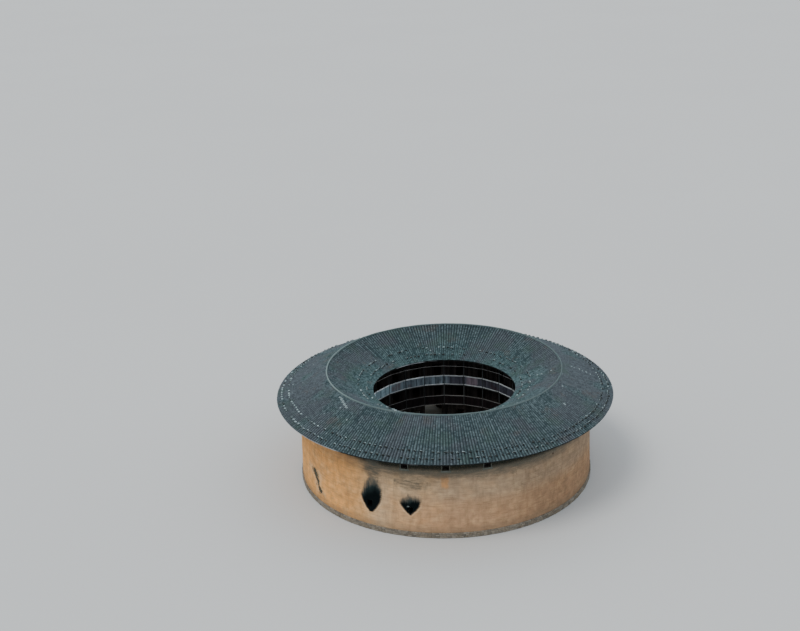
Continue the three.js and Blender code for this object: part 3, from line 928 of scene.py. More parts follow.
class RoundhouseWall(bpy.types.PropertyGroup):
    """Earth wall and stonework"""

    lift_height: size_setting("Lift", "Height of one lift of rammed earth", 0.42)
    unevenness: size_setting("Unevenness", "How far the earth face wanders", 0.03)
    earth_colour: colour_setting("Earth", "Warm rammed earth", (0.69, 0.375, 0.150))
    # Bright earth, also used as painted light low on the wall's left
    washed_and_lit_earth_colour: colour_setting("Bright Earth", "Earth that rain has washed", (0.86, 0.48, 0.18))
    grey_earth_colour: colour_setting("Grey Earth", "Weathered earth", (0.46, 0.32, 0.205))
    rose_earth_colour: colour_setting("Rose Earth", "Redder earth of the lower lifts", (0.54, 0.33, 0.205))
    rust_earth_colour: colour_setting("Rust Earth", "A patch of red earth", (0.62, 0.28, 0.09))
    pale_earth_colour: colour_setting("Pale Earth", "Dry, sandy earth", (0.70, 0.50, 0.30))
    # Dust and thin smoke under the eave, also used as the eave's painted shade
    eave_dust_and_shade_colour: colour_setting("Eave Dust", "Dust and thin smoke under the eave", (0.085, 0.085, 0.070))
    veil_colour: colour_setting("Smoke Veil", "Thin smoke round the soot", (0.068, 0.086, 0.086))
    # Wet stain right under the eave, also used as the eave's painted shade
    eave_damp_and_shade_colour: colour_setting("Eave Stain", "Damp right under the eave", (0.016, 0.018, 0.013))
    soot_colour: colour_setting("Soot", "Kitchen soot", (0.0045, 0.0070, 0.0075))
    thin_soot_colour: colour_setting("Thin Soot", "Soot at the top of a stain", (0.030, 0.046, 0.047))
    chip_colour: colour_setting("Chip", "Bare lime at a vent's edge", (0.20, 0.23, 0.22))
    surround_colour: colour_setting("Surround", "Lime wash about the windows", (0.105, 0.113, 0.095))
    footing_colour: colour_setting("Footing", "Field stones", (0.20, 0.175, 0.14))
    dressed_colour: colour_setting("Dressed Stone", "Granite of the gate and kerb", (0.30, 0.285, 0.25))


class RoundhouseTimber(bpy.types.PropertyGroup):
    """Galleries, room fronts and roof timbers"""

    gallery_planks: count_setting("Gallery Planks", "Planks in one bay of a gallery", 13)
    front_plank: size_setting("Front Plank", "Width of a plank in a room front", 0.19)
    gallery_colour: colour_setting("Gallery", "Weathered grey fir", (0.118, 0.150, 0.176))
    lower_gallery_colour: colour_setting("Lower Gallery", "Smoked fir", (0.0055, 0.0030, 0.0036))
    post_colour: colour_setting("Posts", "Sooty grey posts of the galleries", (0.034, 0.036, 0.036))
    dark_colour: colour_setting("Dark Timber", "Fir darkened by smoke", (0.027, 0.022, 0.020))
    floor_colour: colour_setting("Floor", "Worn floor boards", (0.085, 0.060, 0.040))
    rail_colour: colour_setting("Rail", "Rails bleached by the sun", (0.72, 0.76, 0.79))
    worn_rail_colour: colour_setting("Worn Rail", "Rails of the lower gallery", (0.155, 0.150, 0.145))
    red_fir_colour: colour_setting("Red Fir", "Newer planks in the galleries", (0.105, 0.065, 0.068))
    pole_colour: colour_setting("Pole", "Bamboo of the drying pole", (0.52, 0.50, 0.48))


class RoundhouseStage(bpy.types.PropertyGroup):
    """Floor, light and camera"""

    floor_colour: colour_setting("Floor", "Studio floor", (0.62, 0.62, 0.61))
    sky: bpy.props.FloatProperty(name="Sky", description="Strength of the light from all round", default=1.05)
    key: bpy.props.FloatProperty(name="Key", description="Strength of the soft main light", default=1.3)


# Roof


class Slope:
    """One of the two roof slopes, from the ridge down to its lower edge."""

    def __init__(self, edge, clear=0.06):
        self.sign = 1 if edge[0] > RIDGE[0] else -1
        run, fall = abs(edge[0] - RIDGE[0]), RIDGE[1] - edge[1]
        self.pitch = math.atan2(fall, run)
        self.start = RIDGE[0] + self.sign * clear
        self.length = (run - clear) / math.cos(self.pitch)
        self.turn = self.sign * self.pitch
        self.down = np.array((0, -self.sign * math.cos(self.pitch), -math.sin(self.pitch)))
        self.normal = np.array((0, -self.sign * math.sin(self.pitch), math.cos(self.pitch)))
        self.edge = edge

    def height(self, radius):
        return RIDGE[1] - (radius - RIDGE[0]) * self.sign * math.tan(self.pitch)

    def spot(self, distance, drop):
        """A point at the front, this far down the slope and this far under its surface."""
        top = np.array((0, -self.start, self.height(self.start)))
        return top + self.down * distance - self.normal * drop

    def radius(self, distance):
        return self.start + self.sign * distance * math.cos(self.pitch)


OUTER = Slope(EAVE)
INNER = Slope(OCULUS)


def laid(tile, slope, distance, drop, tilt):
    """Puts a tile on the slope, tilted so that its lower end lies on the next one."""
    tile.rotation_euler.x = slope.turn - slope.sign * tilt
    tile.location = slope.spot(distance, drop)
    return settle(tile)


def cover_tile(slope, look, length, course):
    """A half-round tile: a lying cylinder cut in half, squashed, and flared at its lower end."""
    half = look.cover_width / 2
    tile = add("cylinder", turn=(math.pi / 2, 0, 0), vertices=8, radius=half, depth=length)
    with shaping(tile):
        bpy.ops.mesh.bisect(plane_co=(0, 0, 0), plane_no=(0, 0, 1), use_fill=True, clear_inner=True)
    with shaping(tile):
        bpy.ops.transform.resize(value=(1, 1, look.cover_rise / half))
    lower = -slope.sign * length / 2
    with shaping(tile, lambda co, _: abs(co.y - lower) < 1e-4):
        bpy.ops.transform.resize(value=COVER_FLARE, center_override=(0, lower, 0))
    drop = look.cover_rise * COVER_FLARE[2] + COVER_DROP
    return laid(tile, slope, course - length / 2, drop, COVER_TILT / length)


def pan_tile(slope, length, course):
    """A trough tile: a four-sided cylinder flattened, its upper edge pushed down to leave a thin trough."""
    tile = add("cylinder", turn=(math.pi / 2, 0, 0), vertices=4, radius=0.5, depth=length)
    with shaping(tile):
        bpy.ops.transform.resize(value=(1, 1, PAN_THICKNESS))
    with shaping(tile, lambda co, _: co.z > 0.01):
        bpy.ops.transform.translate(value=(0, 0, -PAN_HOLLOW))
    return laid(tile, slope, course - length / 2, PAN_DROP, PAN_TILT / length)


def tile_quarter(slope, look, rows, courses):
    """A quarter of a slope: one row of covers and pans, arrayed down the slope and then round the ridge."""
    course = slope.length / courses
    length = course * TILE_LENGTH_PER_COURSE
    cover = along(cover_tile(slope, look, length, course), courses, slope.down * course)
    pan = along(pan_tile(slope, length, course), courses, slope.down * course)
    row = joined([cover, turned(pan, 180 / rows)])
    return around(turned(row, HALF_BAY + 180 / rows - 90 / rows), rows // 4, 360 / rows)


def tile_numbers(verts, courses):
    """The row and the tile that each vertex of a quarter belongs to, and whether the tile is a cover."""
    covers = courses * COVER_VERTS
    row, within = np.divmod(np.arange(verts), covers + courses * PAN_VERTS)
    is_cover = within < covers
    in_row = np.where(is_cover, within // COVER_VERTS, courses + (within - covers) // PAN_VERTS)
    return row, row * 2 * courses + in_row, is_cover


def weather_tiles(piece, slope, look, rows, courses, quarter, seed):
    """Fans the pans, and lets every tile slip, turn and tone a little, with settled and mended places."""
    rng = np.random.default_rng(seed)
    co = points(piece)
    row, tile, is_cover = tile_numbers(len(co), courses)
    total = tile[-1] + 1
    pitch = 360 / rows
    first = HALF_BAY + 90 * quarter + pitch / 4
    bearing = np.radians(first + row * pitch + np.where(is_cover, 0, pitch / 2))
    outward = np.stack([np.sin(bearing), -np.cos(bearing)], 1)
    tangent = np.stack([np.cos(bearing), np.sin(bearing)], 1)
    across = (co[:, :2] * tangent).sum(1)
    radius = (co[:, :2] * outward).sum(1)
    middle = (np.bincount(tile, radius) / np.bincount(tile))[tile]
    across = np.where(is_cover, across, across * (middle * math.radians(pitch) - look.cover_width * 0.35))

    slip = rng.normal(0, SLIP, total)
    loose = rng.random(total) < LOOSE_SHARE
    slip = np.where(loose, rng.uniform(*LOOSE_SLIP, total), slip)[tile]
    turn = np.where(loose, rng.normal(0, LOOSE_TURN, total), rng.normal(0, FIRM_TURN, total))
    turn = np.radians(turn)[tile]
    lift = np.abs(rng.normal(0, FIRM_LIFT, total)) + np.where(loose, LOOSE_LIFT, 0)
    drift = rng.normal(0, TILE_DRIFT, total)
    drift += rng.normal(0, ROW_DRIFT, row[-1] + 1)[np.arange(total) // (2 * courses)]
    along_tile = radius - middle
    across, along_tile = (across * np.cos(turn) - along_tile * np.sin(turn),
                          across * np.sin(turn) + along_tile * np.cos(turn))
    radius = middle + along_tile + slope.sign * slip * math.cos(slope.pitch)
    height = co[:, 2] + lift[tile] - slip * math.sin(slope.pitch)

    arc = bearing * ROOF_MIDDLE
    settled = -look.sag * (0.5 + 0.5 * ripple(arc, middle * 1.3, seed + 1, 1.6))
    wander = 0.030 * ripple(arc * 0.8, middle * 0.9, seed + 2, 1.2)
    at_edge = np.clip(np.abs(middle - slope.edge[0]) / 0.8, 0, 1)
    across = across + drift[tile] + wander
    height = height + settled * at_edge - (1 - at_edge) * 0.006 * (1 + ripple(arc, middle, seed + 3, 0.35))
    paint(piece, "tone", tile_tones(rng, slope, seed, row, tile, loose, bearing, middle))
    # Marks the pans, which the tile finish darkens with trough dirt and painted shade.
    paint(piece, "hollow", np.where(is_cover, 0.0, 1.0))
    set_points(piece, np.column_stack([outward * radius[:, None] + tangent * across[:, None], height]))


def tile_tones(rng, slope, seed, row, tile, loose, bearing, radius):
    """A tone for each tile, with dark rows and stretches, and pale loose, newer and mended tiles."""
    total, rows = tile[-1] + 1, row[-1] + 1
    tone = rng.normal(0, 1.15, total)[tile]
    tone = tone + 0.5 * ripple(bearing * ROOF_MIDDLE * 0.7, radius * 0.8, seed + 4, 1.0)
    tone += 0.26 * rng.normal(0, 1, rows)[row]
    down = np.abs(radius - slope.start) / abs(slope.edge[0] - slope.start)
    dark = np.abs(down - rng.uniform(0.1, 0.9, rows)[row]) < rng.uniform(0.1, 0.35, rows)[row]
    tone -= 1.8 * (dark & (rng.random(rows) < 0.05)[row])
    tone = np.where(loose[tile], LOOSE_TONE, tone)
    newer = rng.random(total) < NEW_SHARE
    tone = np.where(newer[tile], NEW_TONE + 1.4 * rng.random(total)[tile], tone)
    spots = np.column_stack([np.sin(bearing) * radius, -np.cos(bearing) * radius])
    for *ends, reach, share, pale in MENDED:
        new = (rng.random(total) < share)[tile] & (distance_from(spots, ends[:2], ends[2:]) < reach)
        tone = np.where(new, pale + 0.8 * rng.random(total)[tile], tone)
    return tone


def distance_from(spots, *ends):
    """How far points lie, seen from above, from the line between two ends, given as (bearing, radius)."""
    first, last = [radius * np.array((math.sin(math.radians(bearing)), -math.cos(math.radians(bearing))))
                   for bearing, radius in ends]
    line = last - first
    share = np.clip((spots - first) @ line / (line @ line), 0, 1)
    return np.linalg.norm(spots - first - share[:, None] * line, axis=1)


class ROUNDHOUSE_OT_tiles(bpy.types.Operator):
    """Lays rows of cover and pan tiles on both slopes, a quarter at a time"""

    bl_idname = "roundhouse.tiles"
    bl_label = "Roof Tiles"

    def execute(self, context):
        look = context.scene.roundhouse_roof
        clay = tile_finish("roof_tile_clay", look)
        for name, slope, rows, courses, seed in (("outer", OUTER, look.outer_rows, look.outer_courses, 11),
                                                 ("inner", INNER, look.inner_rows, look.inner_courses, 31)):
            first = tile_quarter(slope, look, rows, courses)
            quarters = [first] + [copy_of(first, 90 * turn) for turn in (1, 2, 3)]
            for index, (piece, side) in enumerate(zip(quarters, QUARTERS)):
                weather_tiles(piece, slope, look, rows, courses, index, seed + 5 * index)
                smooth(piece, 50)
                finished(piece, f"{name}_tiles_{side}", clay, "roof_tile", f"{name}_roof_{side}")
        return {"FINISHED"}


class ROUNDHOUSE_OT_ridge(bpy.types.Operator):
    """Lays the lime mortar ridge over the heads of both slopes"""

    bl_idname = "roundhouse.ridge"
    bl_label = "Lime Ridge"

    def execute(self, context):
        look = context.scene.roundhouse_roof
        middle, level = RIDGE
        foot, crown, low, top = 0.085, 0.042, level - 0.10, level + 0.070
        corners = [(middle - foot, low), (middle + foot, low), (middle + crown, top), (middle - crown, top)]
        piece = ring(corners, 2 * RING_STEPS, 0.02)
        co = points(piece)
        arc = np.radians(bearing_of(co)) * middle
        radius = np.hypot(co[:, 0], co[:, 1])
        lumps = 0.014 * ripple(arc * 2.2, co[:, 2] * 3 + radius * 4, 71, 0.5)
        lumps += 0.012 * ripple(arc, radius, 72, 1.5)
        outward = co[:, :2] / radius[:, None]
        co[:, :2] += outward * (lumps * np.sign(radius - middle))[:, None]
        co[:, 2] += np.where(co[:, 2] > level, lumps - 0.012, 0)
        set_points(piece, co)
        paint(piece, "tone", near(bearing_of(co), -88, 36, 1.5))
        smooth(piece, 60)
        lime = lime_finish("ridge_lime", look.lime_colour, scaled(look.tile_colour, 1.3))
        finished(piece, "ridge_mortar", lime, "ridge_lime", "ridge_cap")
        return {"FINISHED"}


def near(bearings, middle, fade, most):
    """A share that falls off to both sides of a bearing, and is whole for as long as it would pass 1."""
    return np.clip(most - np.abs(bearings - middle) / fade, 0, 1)


def field_stone(size, place, ease=0.28):
    """A rounded stone out of a cube."""
    stone = add("cube", size, place, size=1)
    return bevel(stone, ease * min(size))


# Rings of stones that hold the tiles down: slope, radius, places in the ring, share of them still there, how
# far the ring wanders, how dark the painted shade on the lower faces is, and seed. Then the size of a stone,
# and how high its middle lies.
WEIGHT_RINGS = (
    ("outer_low", OUTER, 17.93, 180, 0.86, 0.03, 5.5, 41),
    ("outer_high", OUTER, 17.18, 180, 0.86, 0.22, 5.5, 42),
    ("inner_high", INNER, 9.5, 120, 0.6, 0.12, 1.8, 44),
    ("inner_edge", INNER, 8.6, 110, 0.5, 0.05, 1.8, 43),
)
WEIGHT = (0.25, 0.19, 0.12)
WEIGHT_RISE = 0.026


class ROUNDHOUSE_OT_weights(bpy.types.Operator):
    """Sets the rings of stones that hold the tiles down"""

    bl_idname = "roundhouse.weights"
    bl_label = "Weight Stones"

    def execute(self, context):
        chalky = stone_finish("weight_stone", context.scene.roundhouse_roof.stone_colour, 0.06, 0.05)
        for name, *ring_facts in WEIGHT_RINGS:
            stones = self.lay(*ring_facts)
            finished(smooth(stones, 60), f"weight_stones_{name}", chalky, "roof_tile")
        return {"FINISHED"}

    @staticmethod
    def lay(slope, radius, count, share, swing, shade, seed):
        """One ring of stones on the slope, with painted light at the left and painted shade on lower faces.
        """
        rng = np.random.default_rng(seed)
        stones = field_stone(WEIGHT, (0, -radius, slope.height(radius)))
        verts = len(stones.data.vertices)
        around(stones, count, 360 / count)
        jiggle_parts(stones, verts, seed, 0.03, 18, 0.15)
        co = points(stones)
        part = np.arange(len(co)) // verts
        bearing = np.radians(bearing_of(co))
        outward = np.stack([np.sin(bearing), -np.cos(bearing)], 1)
        co[:, :2] += outward * (swing * np.sin(2 * bearing[::verts])[part])[:, None]
        radii = np.hypot(co[:, 0], co[:, 1])
        middle = np.bincount(part, radii) / verts
        heights = np.bincount(part, co[:, 2]) / verts
        co[:, 2] += (slope.height(middle) + WEIGHT_RISE - heights)[part]
        set_points(stones, co)
        at = np.degrees(bearing[::verts])
        # Painted light: stones towards the lit left side get a paler tone, and less of the painted shade.
        left = near(at, -78, 25, 1.6) * (slope is OUTER)
        tone = (rng.normal(0, 0.9, count) + near(at, -48, 70, 1) * 1.1 + 0.5 * left)[part]
        # Painted shade: the downslope face of each stone is darkened.
        painted_shade_face = np.clip(((radii - middle[part]) * slope.sign - 0.025) / 0.03, 0, 1)
        paint(stones, "tone", tone - shade * painted_shade_face * (1 - 0.85 * left)[part])
        return leave_out(stones, verts, rng.random(count) > share)


class ROUNDHOUSE_OT_rafters(bpy.types.Operator):
    """Lays purlin logs, flat rafters, the deck that carries the tiles, and the eave boards"""

    bl_idname = "roundhouse.rafters"
    bl_label = "Rafters and Purlins"

    def execute(self, context):
        timber = context.scene.roundhouse_timber
        dark = timber_finish("roof_timber", timber.dark_colour, 2.4, (6.0, 6.0, 1.5))
        for name, slope, purlins in (("outer", OUTER, OUTER_PURLINS), ("inner", INNER, INNER_PURLINS)):
            self.carry(name, slope, purlins, dark)
        pale = scaled(timber.rail_colour, 0.45)
        pale_timber = timber_finish("eave_timber", pale, 1.4, (3.0, 3.0, 3.0), dullest=0.04)
        # Painted shade and light: both boards are darkened almost to black as shade under the eave; the outer
        # board's pale stretch at the left is painted light, the court board's pale stretch is one paler
        # board.
        for name, slope, depth, pale_middle, reach in (("eave_board", OUTER, 0.14, -58, 24),
                                                  ("court_eave_board", INNER, 0.16, -150, 12)):
            face = slope.radius(slope.length - EAVE_SETBACK) + slope.sign * 0.017
            under = slope.height(face) - 0.10
            board = ring([(face - 0.013, under - depth), (face + 0.013, under - depth), (face + 0.013, under),
                          (face - 0.013, under)], RING_STEPS)
            away = np.abs((bearing_of(points(board)) - pale_middle + 180) % 360 - 180)
            paint(board, "tone", np.where(away < reach, 2.2, -1.8))
            finished(board, name, pale_timber, "dark_timber")
        for side in QUARTERS:
            coated(f"roof_frame_{side}", dark)
        return {"FINISHED"}

    @staticmethod
    def carry(name, slope, purlins, finish):
        """The deck, the rafters and the purlins of one slope."""
        end = slope.length - EAVE_SETBACK
        lower, upper = TILE_PACK + DECK, TILE_PACK
        corners = [slope.spot(*place) for place in ((0, lower), (end, lower), (end, upper), (0, upper))]
        deck = ring([(-y, z) for _, y, z in corners], RING_STEPS)
        finished(deck, f"{name}_roof_deck", finish, "dark_timber")
        middle = slope.spot(end / 2, TILE_PACK + DECK + RAFTER[1] / 2)
        rafter = bevel(add("cube", (RAFTER[0], end, RAFTER[1]), middle, (slope.turn, 0, 0), size=1), 0.006)
        verts = len(rafter.data.vertices)
        around(rafter, RAFTERS, 360 / RAFTERS)
        tone_parts(rafter, verts, 51)
        finished(rafter, f"{name}_rafters", finish, "dark_timber")
        under = PURLIN_DROP + PURLIN_RADIUS
        logs = [log_ring(radius, slope.height(radius) - under, PURLIN_RADIUS, RING_STEPS // 2)
                for radius in purlins]
        finished(smooth(joined(logs), 50), f"{name}_purlins", finish, "dark_timber")


# Earth wall


def wall_section(look):
    """The wall's section at the front, its outer edge cut into four parts for each lift."""
    section = add("plane", turn=(0, math.pi / 2, 0), size=1)
    co = points(section)
    for index, (_, y, z) in enumerate(co):
        face, level = WALL_FOOT if z < 0 else WALL_HEAD
        co[index] = (0, -(face if y < 0 else WALL_INNER), level)
    set_points(section, co)
    lifts = int((WALL_HEAD[1] - WALL_FOOT[1]) / look.lift_height)
    with shaping(section, lambda co, line: co.y < -16.0 and abs(line.z) > 1, "EDGE"):
        bpy.ops.mesh.subdivide(number_cuts=lifts * 4 - 1)
    return section


def cutter(half, outwards, up, flare=1.0):
    """A block that cuts a hole in the wall at the front, wider inside by the flare."""
    tool = block((-half, half), outwards, up)
    if flare != 1.0:
        with shaping(tool, lambda co, _: co.y > -outwards[0] - 1e-3):
            bpy.ops.transform.resize(value=(flare, 1, 1), center_override=(0, -outwards[0], 0))
    return tool


def carve(piece, tool):
    """Cuts a piece with a tool, and puts the tool away."""
    modify(piece, "BOOLEAN", operation="DIFFERENCE", object=tool, solver="EXACT")
    bpy.data.objects.remove(tool)
    return piece


def hole_cutters():
    """All the wall's holes as one cutting piece."""
    width, height = WINDOW
    window = cutter(width / 2, THROUGH_WALL, (WINDOW_SILL, WINDOW_SILL + height), WINDOW_FLARE)
    vent = cutter(VENT[0] / 2, THROUGH_WALL, (VENT_SILL, VENT_SILL + VENT[1]))
    bearing, sill, side, depth = PUTLOG
    putlog = cutter(side / 2, (WALL_HEAD[0] - depth, THROUGH_WALL[1]), (sill, sill + side))
    tie = cutter(TIE[0] / 2 + TIE_PLAY, THROUGH_WALL, (TIE_HEIGHT - TIE_PLAY, TIE_HEIGHT + TIE[1] + TIE_PLAY))
    gate = cutter(GATE_HOLE, THROUGH_WALL, (-0.5, GATE_TOP + GATE_PLAY))
    tools = [copy_of(window, at) for at in WINDOW_BEARINGS] + [copy_of(vent, at) for at in VENTS]
    tools += [turned(putlog, bearing), turned(gate, GATE_BEARING), around(tie, BAYS, BAY)]
    for spare in (window, vent):
        bpy.data.objects.remove(spare)
    return joined(tools)


class ROUNDHOUSE_OT_earth_wall(bpy.types.Operator):
    """Raises the rammed earth wall in lifts and cuts its windows, vents and gate"""

    bl_idname = "roundhouse.earth_wall"
    bl_label = "Earth Wall"

    def execute(self, context):
        look = context.scene.roundhouse_wall
        wall = spun(wall_section(look), 360)
        self.ram(wall, look)
        carve(wall, hole_cutters())
        smooth(wall, 35)
        finished(wall, "earth_wall", EarthFinish("rammed_earth", look).made_up(), "rammed_earth",
                 *["earth_wall_" + side for side in SIDES])
        return {"FINISHED"}

    @staticmethod
    def ram(wall, look):
        """Sets the face in and out as the boards of each lift left it, with a groove between lifts."""
        co = points(wall)
        radius = np.hypot(co[:, 0], co[:, 1])
        arc = np.radians(bearing_of(co)) * 16
        level = (co[:, 2] - WALL_FOOT[1]) / look.lift_height
        steps = np.random.default_rng(3).normal(0, 0.006, (64, 64))
        lift = np.clip(np.floor(level + 0.05), 0, 63).astype(int)
        board = np.floor((arc + lift * 0.83) / 1.7).astype(int) % 64
        face = steps[lift, board] + look.unevenness * 0.45 * ripple(arc * 0.6, co[:, 2] * 0.6, 81, 1.6)
        face += look.unevenness * 0.22 * ripple(arc * 1.6, co[:, 2] * 2.2, 82, 0.8)
        face -= np.where(np.abs(level - np.round(level)) < 0.12, 0.006, 0)
        face *= np.clip((co[:, 2] - WALL_FOOT[1]) / 0.3, 0.2, 1)
        outward = co[:, :2] / radius[:, None]
        co[:, :2] += outward * np.where(radius > 15.5, face - 0.008, 0)[:, None]
        set_points(wall, co)


def at_windows(piece):
    """Copies of a piece, made for a window at the front, at every window."""
    return joined([copy_of(piece, at) for at in WINDOW_BEARINGS[1:]] + [turned(piece, WINDOW_BEARINGS[0])])


class ROUNDHOUSE_OT_windows(bpy.types.Operator):
    """Sets barred frames in the window holes and washes lime round them"""

    bl_idname = "roundhouse.windows"
    bl_label = "Windows and Vents"

    def execute(self, context):
        look = context.scene.roundhouse_wall
        width, height = WINDOW
        half = width / 2
        lean = math.atan2(WALL_FOOT[0] - WALL_HEAD[0], WALL_HEAD[1] - WALL_FOOT[1])
        face = WALL_FOOT[0] - (WINDOW_SILL + height / 2 - WALL_FOOT[1]) * math.tan(lean)
        side, past = half + WASH, half + SILL_WASH[0]
        wash = joined([block(across, (-0.03, 0.018), up, 0.006) for across, up in (
            ((-past, past), (-SILL_WASH[1], 0)), ((-side, side), (height, height + WASH)),
            ((-side, -half), (0, height)), ((half, side), (0, height)))])
        wash.rotation_euler.x = -lean
        wash.location = (0, -face - height / 2 * math.tan(lean), WINDOW_SILL)
        lime = lime_finish("window_lime", look.surround_colour, look.eave_dust_and_shade_colour)
        finished(at_windows(settle(wash)), "window_surrounds", lime, "rammed_earth")

        depth, head = (face - 0.30, face - 0.21), WINDOW_SILL + height
        stiles = [block((middle - 0.035, middle + 0.035), depth, (WINDOW_SILL, head), 0.006)
                  for middle in (-0.9 * width / 2, 0.9 * width / 2)]
        rails = [block((-half, half), depth, (low, low + 0.07), 0.006) for low in (WINDOW_SILL, head - 0.07)]
        bar = block((-0.015, 0.015), (face - 0.27, face - 0.24), (WINDOW_SILL + 0.05, head - 0.05), 0.004)
        bar.location.x = -0.22
        bars = along(settle(bar), 5, (0.11, 0, 0))
        timber = context.scene.roundhouse_timber
        dark = timber_finish("window_timber", timber.dark_colour, 2.0, (9.0, 9.0, 2.0))
        finished(at_windows(joined(stiles + rails + [bars])), "window_frames", dark, "dark_timber")
        return {"FINISHED"}


# Stonework


class ROUNDHOUSE_OT_stonework(bpy.types.Operator):
    """Lays the footing's field stones, the platform and its kerb"""

    bl_idname = "roundhouse.stonework"
    bl_label = "Footing and Platform"

    def execute(self, context):
        look = context.scene.roundhouse_wall
        rubble = stone_finish("footing_stone", look.footing_colour)
        core = ring([(WALL_INNER, 0), *FOOTING_CORE, (WALL_INNER, FOOTING_CORE[1][1])], BAYS * 6)
        carve(core, turned(cutter(GATE_HOLE, (14.0, 17.0), (-0.5, 1.0)), GATE_BEARING))
        finished(core, "footing_core", rubble, "footing_stone", "footing_right", "footing_left")

        stones = joined([self.course(index, *facts) for index, facts in enumerate(COURSES)])
        co = points(stones)
        radius = np.hypot(co[:, 0], co[:, 1])
        outward = co[:, :2] / radius[:, None]
        co[:, :2] = outward * np.minimum(radius, FOOTING_REACH)[:, None]
        co[:, 2] = np.clip(co[:, 2], 0, WALL_FOOT[1])
        set_points(stones, co)
        finished(smooth(stones, 50), "footing_stones", rubble, "footing_stone")

        dressed = stone_finish("platform_stone", look.dressed_colour)
        edge, level = PLATFORM
        inner, outer = edge + 0.08, WALL_INNER - 0.001
        bed = ring([(inner, 0), (outer, 0), (outer, level - 0.008), (inner, level - 0.008)], BAYS * 4)
        finished(bed, "platform_bed", dressed, "platform_stone", "platform_right", "platform_left")
        flat = edge * FACET_FLAT
        long = edge * math.sin(math.radians(HALF_BAY))
        slabs = [block(across, (flat, flat + KERB_DEPTH), (0, level), 0.012)
                 for across in ((-long + 0.004, -0.004), (0.004, long - 0.004))]
        kerb = joined(slabs)
        verts = len(kerb.data.vertices) // len(slabs)
        around(turned(kerb, HALF_BAY), BAYS, BAY)
        tone_parts(kerb, verts, 64)
        finished(kerb, "platform_kerb", dressed, "platform_stone")
        return {"FINISHED"}

    @staticmethod
    def course(index, low, high, count):
        """One course of footing stones, with none in the gateway."""
        step = 360 / count
        wide = math.radians(step) * 16.2 * 1.03
        stone = field_stone((wide, 0.20, high - low), (0, -FOOTING_MIDDLE, (low + high) / 2), 0.2)
        verts = len(stone.data.vertices)
        turned(stone, GATE_BEARING + (0.5 + index * 0.35) * step)
        around(stone, count, step)
        jiggle_parts(stone, verts, 61 + index, 0.006, 1.5, 0.05)
        co = points(stone)
        at = math.radians(GATE_BEARING)
        across = np.abs(co[:, 0] * math.cos(at) + co[:, 1] * math.sin(at))
        front = co[:, 0] * math.sin(at) - co[:, 1] * math.cos(at) > 0
        closest = np.full(count, 99.0)
        np.minimum.at(closest, np.arange(len(co)) // verts, np.where(front, across, 99.0))
        return leave_out(stone, verts, closest < GATE_HOLE)


class ROUNDHOUSE_OT_gate(bpy.types.Operator):
    """Builds the gate: dressed stones, lintel beam and two plank leaves"""

    bl_idname = "roundhouse.gate"
    bl_label = "Gate"

    def execute(self, context):
        look = context.scene.roundhouse_wall
        half, outer, ease = GATE_WIDTH / 2, GATE_WIDTH / 2 + GATE_JAMB, 0.012
        depth = (GATE_BACK + 0.002, GATE_FACE)
        stones = [block((-outer, outer), (WALL_INNER + 0.002, GATE_FACE), (0, PLATFORM[1]), ease),
                  block((-outer, outer), depth, (GATE_HEAD, GATE_TOP), ease)]
        joints = (PLATFORM[1], 1.02, 1.95, GATE_HEAD)
        stones += [block(span, depth, (low + 0.002, high - 0.002), ease)
                   for low, high in zip(joints, joints[1:]) for span in ((-outer, -half), (half, outer))]
        gate = turned(joined(stones), GATE_BEARING)
        tone_parts(gate, BLOCK_VERTS, 65)
        granite = stone_finish("gate_stone", look.dressed_colour)
        finished(gate, "gate_stones", granite, "gate_stone", "gate_frame")

        timber = context.scene.roundhouse_timber
        dark = timber_finish("gate_timber", timber.dark_colour, 2.2, (9.0, 9.0, 1.6))
        seat, head = outer + LINTEL_SEAT, GATE_TOP - LINTEL_DEPTH
        beam = block((-seat, seat), (WALL_INNER + 0.02, GATE_BACK - 0.001), (head, GATE_TOP), 0.015)
        finished(turned(beam, GATE_BEARING), "gate_lintel", dark, "dark_timber", "gate_lintel_beam")

        hung = GATE_BACK - half
        plank = block((0.012, 0.056), (hung, hung + 0.148), (PLATFORM[1] + 0.01, head - 0.01), 0.004)
        battens = [block((-0.006, 0.016), (hung + 0.02, GATE_BACK - 0.02), (low, low + 0.11), 0.005)
                   for low in (0.55, 1.5, 2.55)]
        leaf = joined([along(plank, 5, (0, -0.15, 0))] + battens)
        for name, side in (("left", -1), ("right", 1)):
            piece = copy_of(leaf)
            if side > 0:
                piece.scale.x = -1
                clean(settle(piece))
            piece.location.x = side * (outer - 0.015)
            settle(piece)
            tone_parts(piece, BLOCK_VERTS, 66 + side)
            finished(turned(piece, GATE_BEARING), f"gate_leaf_{name}_planks", dark, "dark_timber",
                     f"gate_leaf_{name}")
        bpy.data.objects.remove(leaf)
        return {"FINISHED"}


# Timber galleries


def plank_bay(width, count, inner, thickness, low, high, ease=0.004):
    """The planks of one bay, side by side on the facet at the front."""
    step = width / count
    across = (-width / 2 + 0.002, -width / 2 + step - 0.002)
    plank = block(across, (inner, inner + thickness), (low, high), ease)
    return along(plank, count, (step, 0, 0))


def seed_for(name):
    """A fixed number for a name."""
    return sum(ord(letter) * (index + 1) for index, letter in enumerate(name)) % 997


